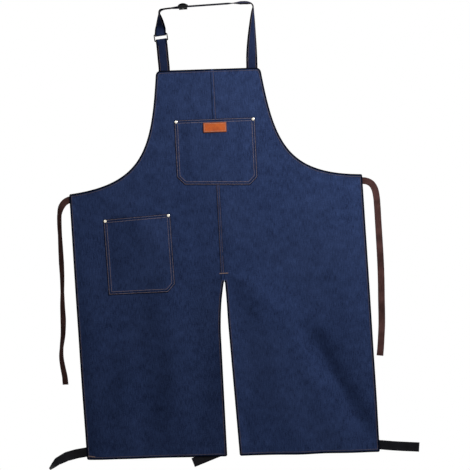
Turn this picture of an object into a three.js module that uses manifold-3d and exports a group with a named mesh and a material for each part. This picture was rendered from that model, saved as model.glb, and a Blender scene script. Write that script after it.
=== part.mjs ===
// Split-leg denim welding apron, hanging by its neck strap.
// Millimetres, +Z up, the apron's front faces -Y, "left" is the -X side seen from the front.
// The origin is the underside of the neck strap's top, where it lies over a neck or a peg.

import * as THREE from 'three';
import { mergeVertices } from 'three/addons/utils/BufferGeometryUtils.js';
import Module from 'manifold-3d';

const wasm = await Module();
wasm.setup();

// Cloth and clearances
const CLOTH = 1.2;
const FIT_GAP = 0.3;
const FOLD_GAP = 3;

// Apron pattern: widths from its centreline, depths down from the bib's top edge
const BIB_HALF_WIDTH = 138;
const BODY_HALF_WIDTH = 388;
const BIB_DEPTH = 305;
const ARMHOLE_FLARE_TOP = 24;
const ARMHOLE_FLARE_FOOT = 48;
const APRON_LENGTH = 1025;
const SPLIT_DEPTH = 562;
const SPLIT_OPEN_LEFT = 16.5;
const SPLIT_OPEN_RIGHT = 16.7;
const SEAM_SHIFT = 14;
const WAIST_FOLD_DEPTH = 367;
const LEG_FOLD_DEPTH = 612;

// How the cloth hangs from the strap: sideways lean per depth, and slope of the cross grain
const LEAN = 0.066;
const SLOPE_TOP = 0.033;
const SLOPE_WAIST = 0.069;
const SLOPE_HEM = 0.027;
const BIB_CENTRE_X = -10.5;
const LOOP_HEIGHT = 170;

// Pockets: pattern place of the mouth's middle, width, height, mouth and foot slope, side lean
const POCKET_BELLY = 5.2;
const CHEST_POCKET = {
  across: 8.4, depth: 131.9, width: 214, height: 175.5, chamferLeft: 21, chamferRight: 21,
  slopeTop: 0.039, slopeFoot: 0, lean: 0.047,
};
const SIDE_POCKET = {
  across: -213.7, depth: 375.3, width: 177.5, height: 203.7, chamferLeft: 0, chamferRight: 20,
  slopeTop: 0.092, slopeFoot: 0.049, lean: 0.072,
};
const LABEL_WIDTH = 62;
const LABEL_HEIGHT = 27;
const LABEL_THICKNESS = 1.8;
const LABEL_DROP = 23;

// Rivets
const RIVET_CAP_RADIUS = 4.2;
const RIVET_EDGE = 0.8;
const RIVET_CAP_HEIGHT = 1.6;
const RIVET_SHANK_RADIUS = 1.35;
const BURR_RADIUS = 3.6;
const BURR_THICKNESS = 1.2;

// Neck strap, its ring and its slider
const STRAP_WIDTH = 30;
const STRAP_THICKNESS = 1.6;
const STRAP_TAIL = 25;
const STRAP_INSET = 6.8;
const LAYER_GAP = 0.6;
const STRAP_END_GAP = 4.5;
const LOOP_LAP = 6;
const LANE_SLOPE = 0.071;
const RING_HEIGHT = 20;
const RING_BAR = 3.2;
const RING_SIDE = 2.75;
const RING_THICKNESS = 2.5;
const RING_X = -135.5;
const RING_Z = -86;
const RING_TILT = 8;
const RING_ROCK_PLAY = 1.75;
const SIDE_PLAY = 0.75;
const SLIDER_X = -77;
const SLIDER_LENGTH = 22;
const SLIDER_BAR = 3.5;
const SLIDER_THICKNESS = 2.2;
const SLIDER_RAIL = 3;
const SLIDER_TRAVEL_LEFT = 3;
const SLIDER_TRAVEL_RIGHT = 105;

// Waist ties and leg straps
const TIE_WIDTH = 18;
const TIE_THICKNESS = 1.2;
const WEBBING_WIDTH = 25;
const WEBBING_THICKNESS = 1.8;
const WEBBING_TAIL = 25;

const BIB_TOP_Z = -LOOP_HEIGHT;
const WAIST_FOLD_Z = BIB_TOP_Z - WAIST_FOLD_DEPTH;
const LEG_FOLD_Z = BIB_TOP_Z - LEG_FOLD_DEPTH;
const PANEL_FRONT = -CLOTH / 2;
const PANEL_BACK = CLOTH / 2;
const BEHIND_PANEL = PANEL_BACK + FIT_GAP;
const POCKET_BACK = PANEL_FRONT - FIT_GAP;
const FLANGE_FRONT = POCKET_BACK - CLOTH;
const BELLY_FRONT = POCKET_BACK - POCKET_BELLY - CLOTH;
const RIVET_INSET = RIVET_CAP_RADIUS + RIVET_EDGE;
const POCKET_MARGIN = RIVET_INSET + RIVET_CAP_RADIUS + RIVET_EDGE;

const COLOURS = {
  denim: 0x2a3c66,
  strapDenim: 0x26365c,
  leather: 0xba5626,
  brass: 0xb08d57,
  blackMetal: 0x1a1a1c,
  brownTape: 0x4a3836,
  blackWebbing: 0x17171a,
};

const apron = new THREE.Group();

function addPiece(name, geometry, colour, roughness = 0.9, metalness = 0) {
  const material = new THREE.MeshStandardMaterial({ color: colour, roughness, metalness });
  const mesh = new THREE.Mesh(geometry, material);
  mesh.name = name;
  apron.add(mesh);
  return mesh;
}

// ---- solids ----

function positionsOnly(geometry) {
  const bare = geometry.clone();
  for (const name of Object.keys(bare.attributes)) {
    if (name !== 'position') bare.deleteAttribute(name);
  }
  return mergeVertices(bare, 1e-4);
}

function toSolid(geometry) {
  const welded = positionsOnly(geometry);
  return new wasm.Manifold(new wasm.Mesh({
    numProp: 3,
    vertProperties: new Float32Array(welded.attributes.position.array),
    triVerts: new Uint32Array(welded.index.array),
  }));
}

function toGeometry(solid) {
  const mesh = solid.getMesh();
  const geometry = new THREE.BufferGeometry();
  geometry.setAttribute('position', new THREE.BufferAttribute(new Float32Array(mesh.vertProperties), 3));
  geometry.setIndex(new THREE.BufferAttribute(new Uint32Array(mesh.triVerts), 1));
  return geometry;
}

// A flat solid between two depths, from an outline drawn as [x, z] points.
function slab(points, front, back, holes = []) {
  const shape = new THREE.Shape(points);
  for (const hole of holes) {
    const path = new THREE.Path();
    path.absarc(hole.x, hole.z, hole.radius, 0, Math.PI * 2);
    shape.holes.push(path);
  }
  const options = { depth: back - front, bevelEnabled: false, curveSegments: 8 };
  const geometry = new THREE.ExtrudeGeometry(shape, options);
  geometry.rotateX(Math.PI / 2);
  geometry.translate(0, back, 0);
  return geometry;
}

function box(low, high) {
  const size = high.map((value, i) => value - low[i]);
  const geometry = new THREE.BoxGeometry(...size);
  geometry.translate(...low.map((value, i) => value + size[i] / 2));
  return geometry;
}

// ---- how the pattern hangs ----

// Slope of the cross grain: the parabola through its values at the bib, waist and hem.
function grainSlope(depth) {
  const atTop = SLOPE_TOP * (depth - BIB_DEPTH) * (depth - APRON_LENGTH) / (BIB_DEPTH * APRON_LENGTH);
  const atWaist = SLOPE_WAIST * depth * (depth - APRON_LENGTH) / (BIB_DEPTH * (BIB_DEPTH - APRON_LENGTH));
  const atHem = SLOPE_HEM * depth * (depth - BIB_DEPTH) / (APRON_LENGTH * (APRON_LENGTH - BIB_DEPTH));
  return atTop + atWaist + atHem;
}

// Place of a pattern point: "across" from the centreline, "depth" down from the bib's top.
function hang(across, depth) {
  const x = BIB_CENTRE_X + across + LEAN * depth;
  const z = BIB_TOP_Z - depth + grainSlope(depth) * across;
  return new THREE.Vector2(x, z);
}

function seamAcross(depth) {
  return SEAM_SHIFT * (1 - depth / APRON_LENGTH);
}

// ---- cloth panels ----

function armhole(side) {
  const curve = new THREE.CubicBezierCurve(
    new THREE.Vector2(BIB_HALF_WIDTH, 0),
    new THREE.Vector2(BIB_HALF_WIDTH + ARMHOLE_FLARE_TOP, BIB_DEPTH * 0.655),
    new THREE.Vector2(BIB_HALF_WIDTH + ARMHOLE_FLARE_FOOT, BIB_DEPTH * 0.955),
    new THREE.Vector2(BODY_HALF_WIDTH, BIB_DEPTH),
  );
  return curve.getPoints(16).map((p) => hang(side * p.x, p.y));
}

// One half of the split, from the hem up to its top.
function splitEdge(side) {
  const open = side < 0 ? SPLIT_OPEN_LEFT : SPLIT_OPEN_RIGHT;
  const points = [];
  const steps = 10;
  for (let i = steps; i >= 0; i -= 1) {
    const part = i / steps;
    const depth = SPLIT_DEPTH + part * (APRON_LENGTH - SPLIT_DEPTH);
    const spread = side < 0 ? open * Math.min(1, part / 0.2) : open * part;
    points.push(hang(seamAcross(depth) + side * (FIT_GAP / 2 + spread), depth));
  }
  return points;
}

function halfOutline(side) {
  const seamTop = hang(seamAcross(0) + side * FIT_GAP / 2, 0);
  const hemOuter = hang(side * BODY_HALF_WIDTH, APRON_LENGTH);
  return [seamTop, ...armhole(side), hemOuter, ...splitEdge(side)];
}

function rivetPlaces(pocket) {
  const across = pocket.width / 2 - RIVET_INSET;
  return [-across, across].map((s) => pocketPoint(pocket, s, RIVET_INSET));
}

function rivetHoles(pocket, side) {
  const middle = pocketPoint(pocket, 0, 0);
  return rivetPlaces(pocket)
    .filter((p) => side === 0 || Math.sign(p.x - middle.x) === side)
    .map((p) => ({ x: p.x, z: p.y, radius: RIVET_SHANK_RADIUS + FIT_GAP }));
}

function cutBetween(geometry, bottom, top) {
  const reach = 2 * (BODY_HALF_WIDTH + APRON_LENGTH);
  return toGeometry(toSolid(geometry).intersect(toSolid(box([-reach, -reach, bottom], [reach, reach, top]))));
}

function addPanels() {
  const lowest = BIB_TOP_Z - 2 * APRON_LENGTH;
  const half = FOLD_GAP / 2;
  for (const [name, side] of [['left', -1], ['right', 1]]) {
    const holes = rivetHoles(CHEST_POCKET, side);
    if (side < 0) holes.push(...rivetHoles(SIDE_POCKET, 0));
    const panel = slab(halfOutline(side), PANEL_FRONT, PANEL_BACK, holes);
    addPiece(`${name}_bib_panel`, cutBetween(panel, WAIST_FOLD_Z + half, APRON_LENGTH), COLOURS.denim);
    addPiece(`${name}_skirt_panel`, cutBetween(panel, LEG_FOLD_Z + half, WAIST_FOLD_Z - half), COLOURS.denim);
    addPiece(`${name}_leg_panel`, cutBetween(panel, lowest, LEG_FOLD_Z - half), COLOURS.denim);
  }
}

// ---- pockets ----

// Place of a pocket point: "across" from its middle, "down" from its mouth.
function pocketPoint(pocket, across, down) {
  const mouth = hang(pocket.across, pocket.depth);
  const part = down / pocket.height;
  const slope = pocket.slopeTop + (pocket.slopeFoot - pocket.slopeTop) * part;
  return new THREE.Vector2(mouth.x + across + pocket.lean * down, mouth.y - down + slope * across);
}

// Pocket outline drawn in by a margin at the sides and foot, its mouth raised by "above".
function pocketOutline(pocket, margin, above) {
  const side = pocket.width / 2 - margin;
  const foot = pocket.height - margin;
  const corner = [[-side, -above], [side, -above]];
  const right = Math.max(0, pocket.chamferRight - margin * 0.6);
  const left = Math.max(0, pocket.chamferLeft - margin * 0.6);
  corner.push([side, foot - right]);
  if (right > 0) corner.push([side - right, foot]);
  corner.push([-side + left, foot]);
  if (left > 0) corner.push([-side, foot - left]);
  return corner.map(([across, down]) => pocketPoint(pocket, across, down));
}

// A patch pocket: flat sewn edge on three sides, a raised front, open at the mouth.
function patchPocket(pocket) {
  const holes = rivetHoles(pocket, 0);
  const flange = toSolid(slab(pocketOutline(pocket, 0, 0), FLANGE_FRONT, POCKET_BACK, holes));
  const front = toSolid(slab(pocketOutline(pocket, POCKET_MARGIN, 0), BELLY_FRONT, POCKET_BACK));
  const inside = pocketOutline(pocket, POCKET_MARGIN + CLOTH, POCKET_MARGIN);
  const hollow = toSolid(slab(inside, BELLY_FRONT + CLOTH, POCKET_BACK + CLOTH));
  return toGeometry(flange.add(front).subtract(hollow));
}

function addLabel() {
  const geometry = new THREE.BoxGeometry(LABEL_WIDTH, LABEL_THICKNESS, LABEL_HEIGHT);
  const label = addPiece('leather_label', geometry, COLOURS.leather, 0.6);
  const place = pocketPoint(CHEST_POCKET, 0, LABEL_DROP);
  label.position.set(place.x, BELLY_FRONT - FIT_GAP - LABEL_THICKNESS / 2, place.y);
  label.rotation.y = -Math.atan(CHEST_POCKET.slopeTop);
}

// ---- rivets ----

function rivetGeometry() {
  const under = FLANGE_FRONT - FIT_GAP;
  const top = under - RIVET_CAP_HEIGHT;
  const end = BEHIND_PANEL + BURR_THICKNESS + 0.2;
  const profile = [
    new THREE.Vector2(0, top),
    new THREE.Vector2(RIVET_CAP_RADIUS * 0.55, top + RIVET_CAP_HEIGHT * 0.12),
    new THREE.Vector2(RIVET_CAP_RADIUS * 0.88, top + RIVET_CAP_HEIGHT * 0.45),
    new THREE.Vector2(RIVET_CAP_RADIUS, under),
    new THREE.Vector2(RIVET_SHANK_RADIUS, under),
    new THREE.Vector2(RIVET_SHANK_RADIUS, end),
    new THREE.Vector2(0, end),
  ];
  return new THREE.LatheGeometry(profile, 16);
}

function burrGeometry() {
  const hole = RIVET_SHANK_RADIUS + FIT_GAP;
  const back = BEHIND_PANEL + BURR_THICKNESS;
  const profile = [
    new THREE.Vector2(hole, BEHIND_PANEL),
    new THREE.Vector2(BURR_RADIUS, BEHIND_PANEL),
    new THREE.Vector2(BURR_RADIUS, back),
    new THREE.Vector2(hole, back),
    new THREE.Vector2(hole, BEHIND_PANEL),
  ];
  return new THREE.LatheGeometry(profile, 16);
}

function addRivets(pocketName, pocket) {
  const names = ['left', 'right'];
  rivetPlaces(pocket).forEach((place, i) => {
    const rivet = addPiece(`${pocketName}_rivet_${names[i]}`, rivetGeometry(), COLOURS.brass, 0.35, 0.9);
    const burr = addPiece(`${pocketName}_burr_${names[i]}`, burrGeometry(), COLOURS.brass, 0.4, 0.9);
    rivet.position.set(place.x, 0, place.y);
    burr.position.set(place.x, 0, place.y);
  });
}

// ---- bands: straps, ties and webbing ----

// One place on a band's route: the direction its face looks in, and how far that way it lies.
function station(x, y, z, facing, offset = 0) {
  const point = new THREE.Vector3(x, y, z);
  return { point, facing: new THREE.Vector3(...facing).normalize(), offset };
}

// A closed flat band, eight-sided across, on one smooth curve through its stations.
function band(stations, width, thickness, stepsPerSpan = 3) {
  const route = new THREE.CatmullRomCurve3(stations.map((s) => s.point), false, 'centripetal');
  const spans = stations.length - 1;
  const count = spans * stepsPerSpan;
  const bevel = thickness / 4;
  const w = width / 2;
  const t = thickness / 2;
  const section = [
    [-w, -t + bevel], [-w + bevel, -t], [w - bevel, -t], [w, -t + bevel],
    [w, t - bevel], [w - bevel, t], [-w + bevel, t], [-w, t - bevel],
  ];
  const n = section.length;
  const vertices = [];
  for (let i = 0; i <= count; i += 1) {
    const at = i / count;
    const span = Math.min(spans - 1, Math.floor(at * spans));
    const part = at * spans - span;
    const from = stations[span];
    const to = stations[span + 1];
    const normal = from.facing.clone().lerp(to.facing, part);
    const along = route.getTangent(at);
    normal.addScaledVector(along, -normal.dot(along)).normalize();
    const across = along.clone().cross(normal);
    const offset = from.offset + (to.offset - from.offset) * part;
    const centre = route.getPoint(at).addScaledVector(normal, offset);
    for (const [a, b] of section) {
      const corner = centre.clone().addScaledVector(across, a).addScaledVector(normal, b);
      vertices.push(corner.x, corner.y, corner.z);
    }
  }
  const faces = [];
  for (let i = 0; i < count; i += 1) {
    for (let j = 0; j < n; j += 1) {
      const a = i * n + j;
      const b = i * n + (j + 1) % n;
      // Both broad faces split along one diagonal, so a twisted band keeps its thickness.
      if (j < n / 2) faces.push(a, a + n, b, b, a + n, b + n);
      else faces.push(a, a + n, b + n, a, b + n, b);
    }
  }
  const last = count * n;
  for (let j = 1; j < n - 1; j += 1) {
    faces.push(0, j, j + 1, last, last + j + 1, last + j);
  }
  const geometry = new THREE.BufferGeometry();
  geometry.setAttribute('position', new THREE.Float32BufferAttribute(vertices, 3));
  geometry.setIndex(faces);
  return geometry;
}

const FRONT = [0, -1, 0];
const BACK = [0, 1, 0];

// ---- neck strap ----

const LONG_LAYER_Z = STRAP_THICKNESS / 2;
const LAYER_OFFSET = (STRAP_THICKNESS + LAYER_GAP) / 2;
const DOUBLED_Z = LONG_LAYER_Z - LAYER_OFFSET;
const STRAP_BEHIND = BEHIND_PANEL + STRAP_THICKNESS / 2;
const LEFT_STRAP_X = BIB_CENTRE_X - BIB_HALF_WIDTH + STRAP_WIDTH / 2 + STRAP_INSET;
const RIGHT_STRAP_X = BIB_CENTRE_X + BIB_HALF_WIDTH - STRAP_WIDTH / 2 - STRAP_INSET;
const LOOP_RADIUS = RING_THICKNESS / 2 + RING_ROCK_PLAY + STRAP_THICKNESS / 2;
const BAR_RISE = RING_HEIGHT / 2 - RING_BAR / 2;
const LANE_LEFT = SLIDER_X - SLIDER_LENGTH / 2 - SLIDER_TRAVEL_LEFT - 2;
const LANE_RIGHT = SLIDER_X + SLIDER_LENGTH / 2 + SLIDER_TRAVEL_RIGHT + 4;
const LANE_UP = [-LANE_SLOPE, 0, 1];

// Height of the middle of the doubled strap along the straight, sloping top stretch.
function laneZ(x) {
  return DOUBLED_Z + LANE_SLOPE * x;
}

function bibTopAt(x) {
  return BIB_TOP_Z + SLOPE_TOP * (x - BIB_CENTRE_X);
}

// The face of an upright strap, turned out of the front plane towards a side.
function turned(degrees, side) {
  const angle = THREE.MathUtils.degToRad(degrees);
  return [side * Math.sin(angle), -Math.cos(angle), 0];
}

// A place on the strap at the ring: [y, up] from the ring's middle, turned with the tilted ring.
function atRing(y, up, facing) {
  const axis = new THREE.Vector3(0, -1, 0);
  const tilt = THREE.MathUtils.degToRad(RING_TILT);
  const place = new THREE.Vector3(0, y, up).applyAxisAngle(axis, tilt);
  const face = new THREE.Vector3(...facing).applyAxisAngle(axis, tilt);
  return station(RING_X + place.x, place.y, RING_Z + place.z, face.toArray());
}

// A half turn round one of the ring's bars: side -1 passes under the top bar, 1 over the low one.
function barTurn(side) {
  const stations = [];
  for (let i = 0; i <= 4; i += 1) {
    const angle = Math.PI * i / 4;
    const y = -Math.cos(angle);
    const up = side * Math.sin(angle);
    stations.push(atRing(LOOP_RADIUS * y, -side * BAR_RISE + LOOP_RADIUS * up, [0, y, up]));
  }
  return stations;
}

// The doubled stretch from the slider to just above the ring: one layer lies on each face.
function doubledRun(offset) {
  const drop = RING_Z + BAR_RISE - DOUBLED_Z;
  const places = [
    [LANE_LEFT, laneZ(LANE_LEFT), LANE_UP],
    [RING_X + 24, laneZ(RING_X + 24) - 0.5, [-0.1, -0.14, 1]],
    [RING_X + 8, laneZ(RING_X + 8) - 1.5, [-0.2, -0.1, 1]],
    [RING_X - 1.5, laneZ(RING_X) - 4.5, [-0.7, 0, 0.7]],
    [RING_X - 4.6, laneZ(RING_X) - 11, [-1, 0, 0.1]],
    [RING_X - 4.2, DOUBLED_Z + drop * 0.36, turned(78, -1)],
    [RING_X - 2.6, DOUBLED_Z + drop * 0.54, turned(58, -1)],
    [RING_X - 1.6, DOUBLED_Z + drop * 0.7, turned(40, -1)],
    [RING_X - 1.3, DOUBLED_Z + drop * 0.84, turned(17, -1)],
  ];
  return places.map(([x, z, facing]) => station(x, 0, z, facing, offset));
}

function rightRiser() {
  const base = bibTopAt(RIGHT_STRAP_X) + STRAP_END_GAP;
  const rise = DOUBLED_Z - base;
  const corner = RIGHT_STRAP_X + 2;
  return [
    station(RIGHT_STRAP_X, STRAP_BEHIND, base, FRONT),
    station(RIGHT_STRAP_X - 0.5, 1.2, base + rise * 0.12, turned(8, 1)),
    station(RIGHT_STRAP_X - 0.5, 0.4, base + rise * 0.3, turned(27, 1)),
    station(RIGHT_STRAP_X, 0, base + rise * 0.5, turned(46, 1)),
    station(corner - 1, 0, base + rise * 0.7, turned(62, 1)),
    station(corner, 0, base + rise * 0.88, turned(78, 1)),
    station(corner, 0, DOUBLED_Z - 4, [1, 0, 0.1], LAYER_OFFSET),
    station(corner - 3.5, 0, DOUBLED_Z + 2.8, [0.7, -0.1, 0.7], LAYER_OFFSET),
    station(corner - 15, 0, laneZ(corner - 15) - 1.4, [0, -0.25, 1], LAYER_OFFSET),
    station(corner - 33, 0, laneZ(corner - 33) - 0.3, [-0.07, -0.28, 1], LAYER_OFFSET),
    station(LANE_RIGHT, 0, laneZ(LANE_RIGHT), LANE_UP, LAYER_OFFSET),
  ];
}

function addNeckStrap() {
  const lane = [0, SLIDER_X].map((x) => station(x, 0, laneZ(x), LANE_UP, LAYER_OFFSET));
  const behindBar = [
    atRing(LOOP_RADIUS * 0.75, BAR_RISE + LOOP_LAP * 0.5, BACK),
    atRing(LOOP_RADIUS * 0.65, BAR_RISE + LOOP_LAP, BACK),
  ];
  const long = [...rightRiser(), ...lane, ...doubledRun(LAYER_OFFSET), ...barTurn(-1), ...behindBar];
  addPiece('neck_strap_long', band(long, STRAP_WIDTH, STRAP_THICKNESS), COLOURS.strapDenim);

  const start = station(SLIDER_X, 0, laneZ(SLIDER_X), LANE_UP, -LAYER_OFFSET);
  const returned = [start, ...doubledRun(-LAYER_OFFSET)];
  addPiece('neck_strap_return', band(returned, STRAP_WIDTH, STRAP_THICKNESS), COLOURS.strapDenim);

  const base = station(LEFT_STRAP_X, STRAP_BEHIND, bibTopAt(LEFT_STRAP_X) + STRAP_END_GAP, FRONT);
  const under = atRing(-LOOP_RADIUS * 0.6, -BAR_RISE - LOOP_LAP * 2, FRONT);
  const middle = { ...base, point: base.point.clone().lerp(under.point, 0.5) };
  const short = [
    base,
    middle,
    under,
    ...barTurn(1),
    atRing(LOOP_RADIUS * 0.75, -BAR_RISE - LOOP_LAP * 0.5, BACK),
    atRing(LOOP_RADIUS * 0.65, -BAR_RISE - LOOP_LAP, BACK),
  ];
  addPiece('neck_strap_short', band(short, STRAP_WIDTH, STRAP_THICKNESS), COLOURS.strapDenim);

  for (const [name, x] of [['left', LEFT_STRAP_X], ['right', RIGHT_STRAP_X]]) {
    const top = bibTopAt(x) - FIT_GAP;
    const end = [station(x, STRAP_BEHIND, top, FRONT), station(x, STRAP_BEHIND, top - STRAP_TAIL, FRONT)];
    addPiece(`neck_strap_end_${name}`, band(end, STRAP_WIDTH, STRAP_THICKNESS, 1), COLOURS.strapDenim);
  }
}

function roundedRectangle(target, width, height, radius) {
  const w = width / 2 - radius;
  const h = height / 2 - radius;
  target.absarc(w, h, radius, 0, Math.PI / 2);
  target.absarc(-w, h, radius, Math.PI / 2, Math.PI);
  target.absarc(-w, -h, radius, Math.PI, Math.PI * 1.5);
  target.absarc(w, -h, radius, Math.PI * 1.5, Math.PI * 2);
  return target;
}

function addRing() {
  const windowWidth = STRAP_WIDTH + 2 * SIDE_PLAY;
  const ringWidth = windowWidth + 2 * RING_SIDE;
  const shape = roundedRectangle(new THREE.Shape(), ringWidth, RING_HEIGHT, RING_BAR);
  const windowHeight = RING_HEIGHT - 2 * RING_BAR;
  shape.holes.push(roundedRectangle(new THREE.Path(), windowWidth, windowHeight, 1));
  const options = { depth: RING_THICKNESS, bevelEnabled: false, curveSegments: 4 };
  const geometry = new THREE.ExtrudeGeometry(shape, options);
  geometry.rotateX(Math.PI / 2);
  geometry.translate(0, RING_THICKNESS / 2, 0);
  const ring = addPiece('strap_ring', geometry, COLOURS.blackMetal, 0.4, 0.8);
  ring.position.set(RING_X, 0, RING_Z);
  ring.rotation.y = -THREE.MathUtils.degToRad(RING_TILT);
}

// Two end bars pass over the strap and the middle bar under it, joined by a rail at each side.
function addSlider() {
  const inside = STRAP_WIDTH / 2 + SIDE_PLAY;
  const outside = inside + SLIDER_RAIL;
  const half = SLIDER_LENGTH / 2;
  const over = LONG_LAYER_Z + STRAP_THICKNESS / 2 + FIT_GAP;
  const under = DOUBLED_Z - LAYER_OFFSET - STRAP_THICKNESS / 2 - FIT_GAP;
  const top = over + SLIDER_THICKNESS;
  const foot = under - SLIDER_THICKNESS;
  const bars = [
    box([-half, -outside, over], [-half + SLIDER_BAR, outside, top]),
    box([half - SLIDER_BAR, -outside, over], [half, outside, top]),
    box([-SLIDER_BAR / 2, -outside, foot], [SLIDER_BAR / 2, outside, under]),
    box([-half, -outside, foot], [half, -inside, top]),
    box([-half, inside, foot], [half, outside, top]),
  ];
  const frame = bars.map(toSolid).reduce((whole, bar) => whole.add(bar));
  const slider = addPiece('strap_slider', toGeometry(frame), COLOURS.blackMetal, 0.4, 0.8);
  slider.position.set(SLIDER_X, 0, LANE_SLOPE * SLIDER_X);
  slider.rotation.y = -Math.atan(LANE_SLOPE);
}

// ---- waist ties ----

const TIE_BEHIND = BEHIND_PANEL + TIE_THICKNESS / 2;

function addWaistTies() {
  const left = [
    station(-361, TIE_BEHIND, -512, FRONT),
    station(-377, TIE_BEHIND, -516, FRONT),
    station(-389, 1, -522, [-0.1, -1, 0]),
    station(-399, 0, -535, [-0.35, -1, 0]),
    station(-404, 0, -554, [-0.7, -0.7, 0]),
    station(-404.5, 1, -580, [-0.7, -0.7, 0]),
    station(-403, 2, -612, [-0.75, -0.65, 0]),
    station(-401, 1, -649, [-0.65, -0.75, 0]),
    station(-399, 0, -684, [-0.6, -0.8, 0]),
    station(-397, -1, -722, [-0.7, -0.7, 0]),
    station(-396.5, -1, -761, [-0.8, -0.6, 0]),
    station(-396, 0, -798, [-0.65, -0.75, 0]),
    station(-394.5, 2, -835, [-0.5, -0.85, 0]),
    station(-395, 2, -874, [-0.65, -0.75, 0]),
    station(-398.5, 0, -908, [-0.8, -0.6, 0]),
    station(-399, -2, -932, [-0.7, -0.7, 0]),
    station(-395.5, -2, -957, [-0.6, -0.8, 0]),
    station(-390, -1, -985, [-0.5, -0.85, 0]),
    station(-388, 0, -1006, [-0.45, -0.9, 0]),
  ];
  const right = [
    station(379, TIE_BEHIND, -463, FRONT),
    station(398, TIE_BEHIND, -465, FRONT),
    station(411, 1, -467, FRONT),
    station(423, 0, -474, FRONT),
    station(431, 0, -487, FRONT),
    station(435.5, 0, -506, [0.1, -1, 0]),
    station(438, 0, -533, [0.15, -1, 0]),
    station(440, 1, -565, [0.2, -1, 0]),
    station(442, 1, -598, [0.15, -1, 0]),
    station(444, 0, -632, [0.1, -1, 0]),
    station(446, 0, -667, [0, -1, 0]),
    station(447.5, -1, -703, [-0.1, -1, 0]),
    station(448.5, -1, -740, [-0.15, -1, 0]),
    station(449, 0, -777, [-0.1, -1, 0]),
    station(449.8, 1, -812, [0, -1, 0]),
    station(450, 1, -845, [0.1, -1, 0]),
    station(448.5, 0, -880, [0.15, -1, 0]),
    station(447, -1, -905, [0.1, -1, 0]),
    station(445, -1, -929, [0, -1, 0]),
  ];
  addPiece('waist_tie_left', band(left, TIE_WIDTH, TIE_THICKNESS, 2), COLOURS.brownTape);
  addPiece('waist_tie_right', band(right, TIE_WIDTH, TIE_THICKNESS, 2), COLOURS.brownTape);
}

// ---- leg straps ----

function addLegStraps() {
  const behind = BEHIND_PANEL + WEBBING_THICKNESS / 2;
  const leftCorner = hang(-BODY_HALF_WIDTH, APRON_LENGTH);
  const rightCorner = hang(BODY_HALF_WIDTH, APRON_LENGTH);
  const leftInner = hang(seamAcross(APRON_LENGTH) - SPLIT_OPEN_LEFT, APRON_LENGTH);
  const rightInner = hang(seamAcross(APRON_LENGTH) + SPLIT_OPEN_RIGHT, APRON_LENGTH);
  const at = (corner, across, y, up, facing = FRONT) => station(corner.x + across, y, corner.y + up, facing);
  const straps = {
    leg_strap_left_outer: [
      at(leftCorner, WEBBING_TAIL, behind, 27),
      at(leftCorner, -4, behind, 20),
      at(leftCorner, -28, behind - 1, 15.5),
      at(leftCorner, -54, behind - 2, 8.5, [-0.15, -1, 0.25]),
      at(leftCorner, -78, behind - 3, -3.5, [-0.45, -1, 0.65]),
      at(leftCorner, -99, behind - 3, -24, [-0.75, -0.2, 0.65]),
    ],
    leg_strap_left_inner: [
      at(leftInner, -6, behind, 17),
      at(leftInner, -34, behind, 6),
      at(leftInner, -62, behind, -5.5),
      at(leftInner, -90.5, behind, -17),
    ],
    leg_strap_right_inner: [
      at(rightInner, 6, behind, 24),
      at(rightInner, 40, behind, 25),
      at(rightInner, 75, behind, 26),
      at(rightInner, 110, behind, 27),
    ],
    leg_strap_right_outer: [
      at(rightCorner, -WEBBING_TAIL, behind, 20),
      at(rightCorner, 6, behind, 18.5),
      at(rightCorner, 38, behind - 1, 16.5),
      at(rightCorner, 72, behind - 1.5, 14.5),
      at(rightCorner, 104.5, behind - 1.5, 12.5),
    ],
  };
  for (const [name, stations] of Object.entries(straps)) {
    addPiece(name, band(stations, WEBBING_WIDTH, WEBBING_THICKNESS, 3), COLOURS.blackWebbing);
  }
}

addNeckStrap();
addRing();
addSlider();
addPanels();
addPiece('chest_pocket', patchPocket(CHEST_POCKET), COLOURS.denim);
addPiece('side_pocket', patchPocket(SIDE_POCKET), COLOURS.denim);
addLabel();
addRivets('chest', CHEST_POCKET);
addRivets('side', SIDE_POCKET);
addWaistTies();
addLegStraps();

export default apron;
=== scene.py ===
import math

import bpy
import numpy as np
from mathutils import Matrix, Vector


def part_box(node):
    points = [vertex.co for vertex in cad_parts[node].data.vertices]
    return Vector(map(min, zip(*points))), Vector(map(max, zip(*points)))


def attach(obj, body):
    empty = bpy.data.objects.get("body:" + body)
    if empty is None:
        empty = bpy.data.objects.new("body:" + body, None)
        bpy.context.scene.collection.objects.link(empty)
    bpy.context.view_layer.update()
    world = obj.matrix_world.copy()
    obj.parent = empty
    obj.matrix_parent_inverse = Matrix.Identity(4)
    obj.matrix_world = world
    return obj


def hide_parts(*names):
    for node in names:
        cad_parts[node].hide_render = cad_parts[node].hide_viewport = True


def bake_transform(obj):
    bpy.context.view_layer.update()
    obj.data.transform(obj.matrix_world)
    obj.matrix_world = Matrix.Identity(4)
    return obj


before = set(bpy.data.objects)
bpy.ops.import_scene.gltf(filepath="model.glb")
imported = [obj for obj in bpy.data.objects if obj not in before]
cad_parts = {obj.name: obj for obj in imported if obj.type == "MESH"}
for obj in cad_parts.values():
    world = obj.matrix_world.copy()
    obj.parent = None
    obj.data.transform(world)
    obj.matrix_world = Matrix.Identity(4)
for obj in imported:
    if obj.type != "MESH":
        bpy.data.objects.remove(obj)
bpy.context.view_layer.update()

# Split-leg denim welding apron, hanging by its neck strap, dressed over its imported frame.
# Metres, +Z up, the front faces -Y, "left" is the -X side. The origin is the underside of the neck
# strap's top stretch. A place on the cloth is a pattern place, "across" from the pattern's
# centreline and "depth" down from the bib's top edge, hung by hang() and folded softly by drape().

MM = 0.001

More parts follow.
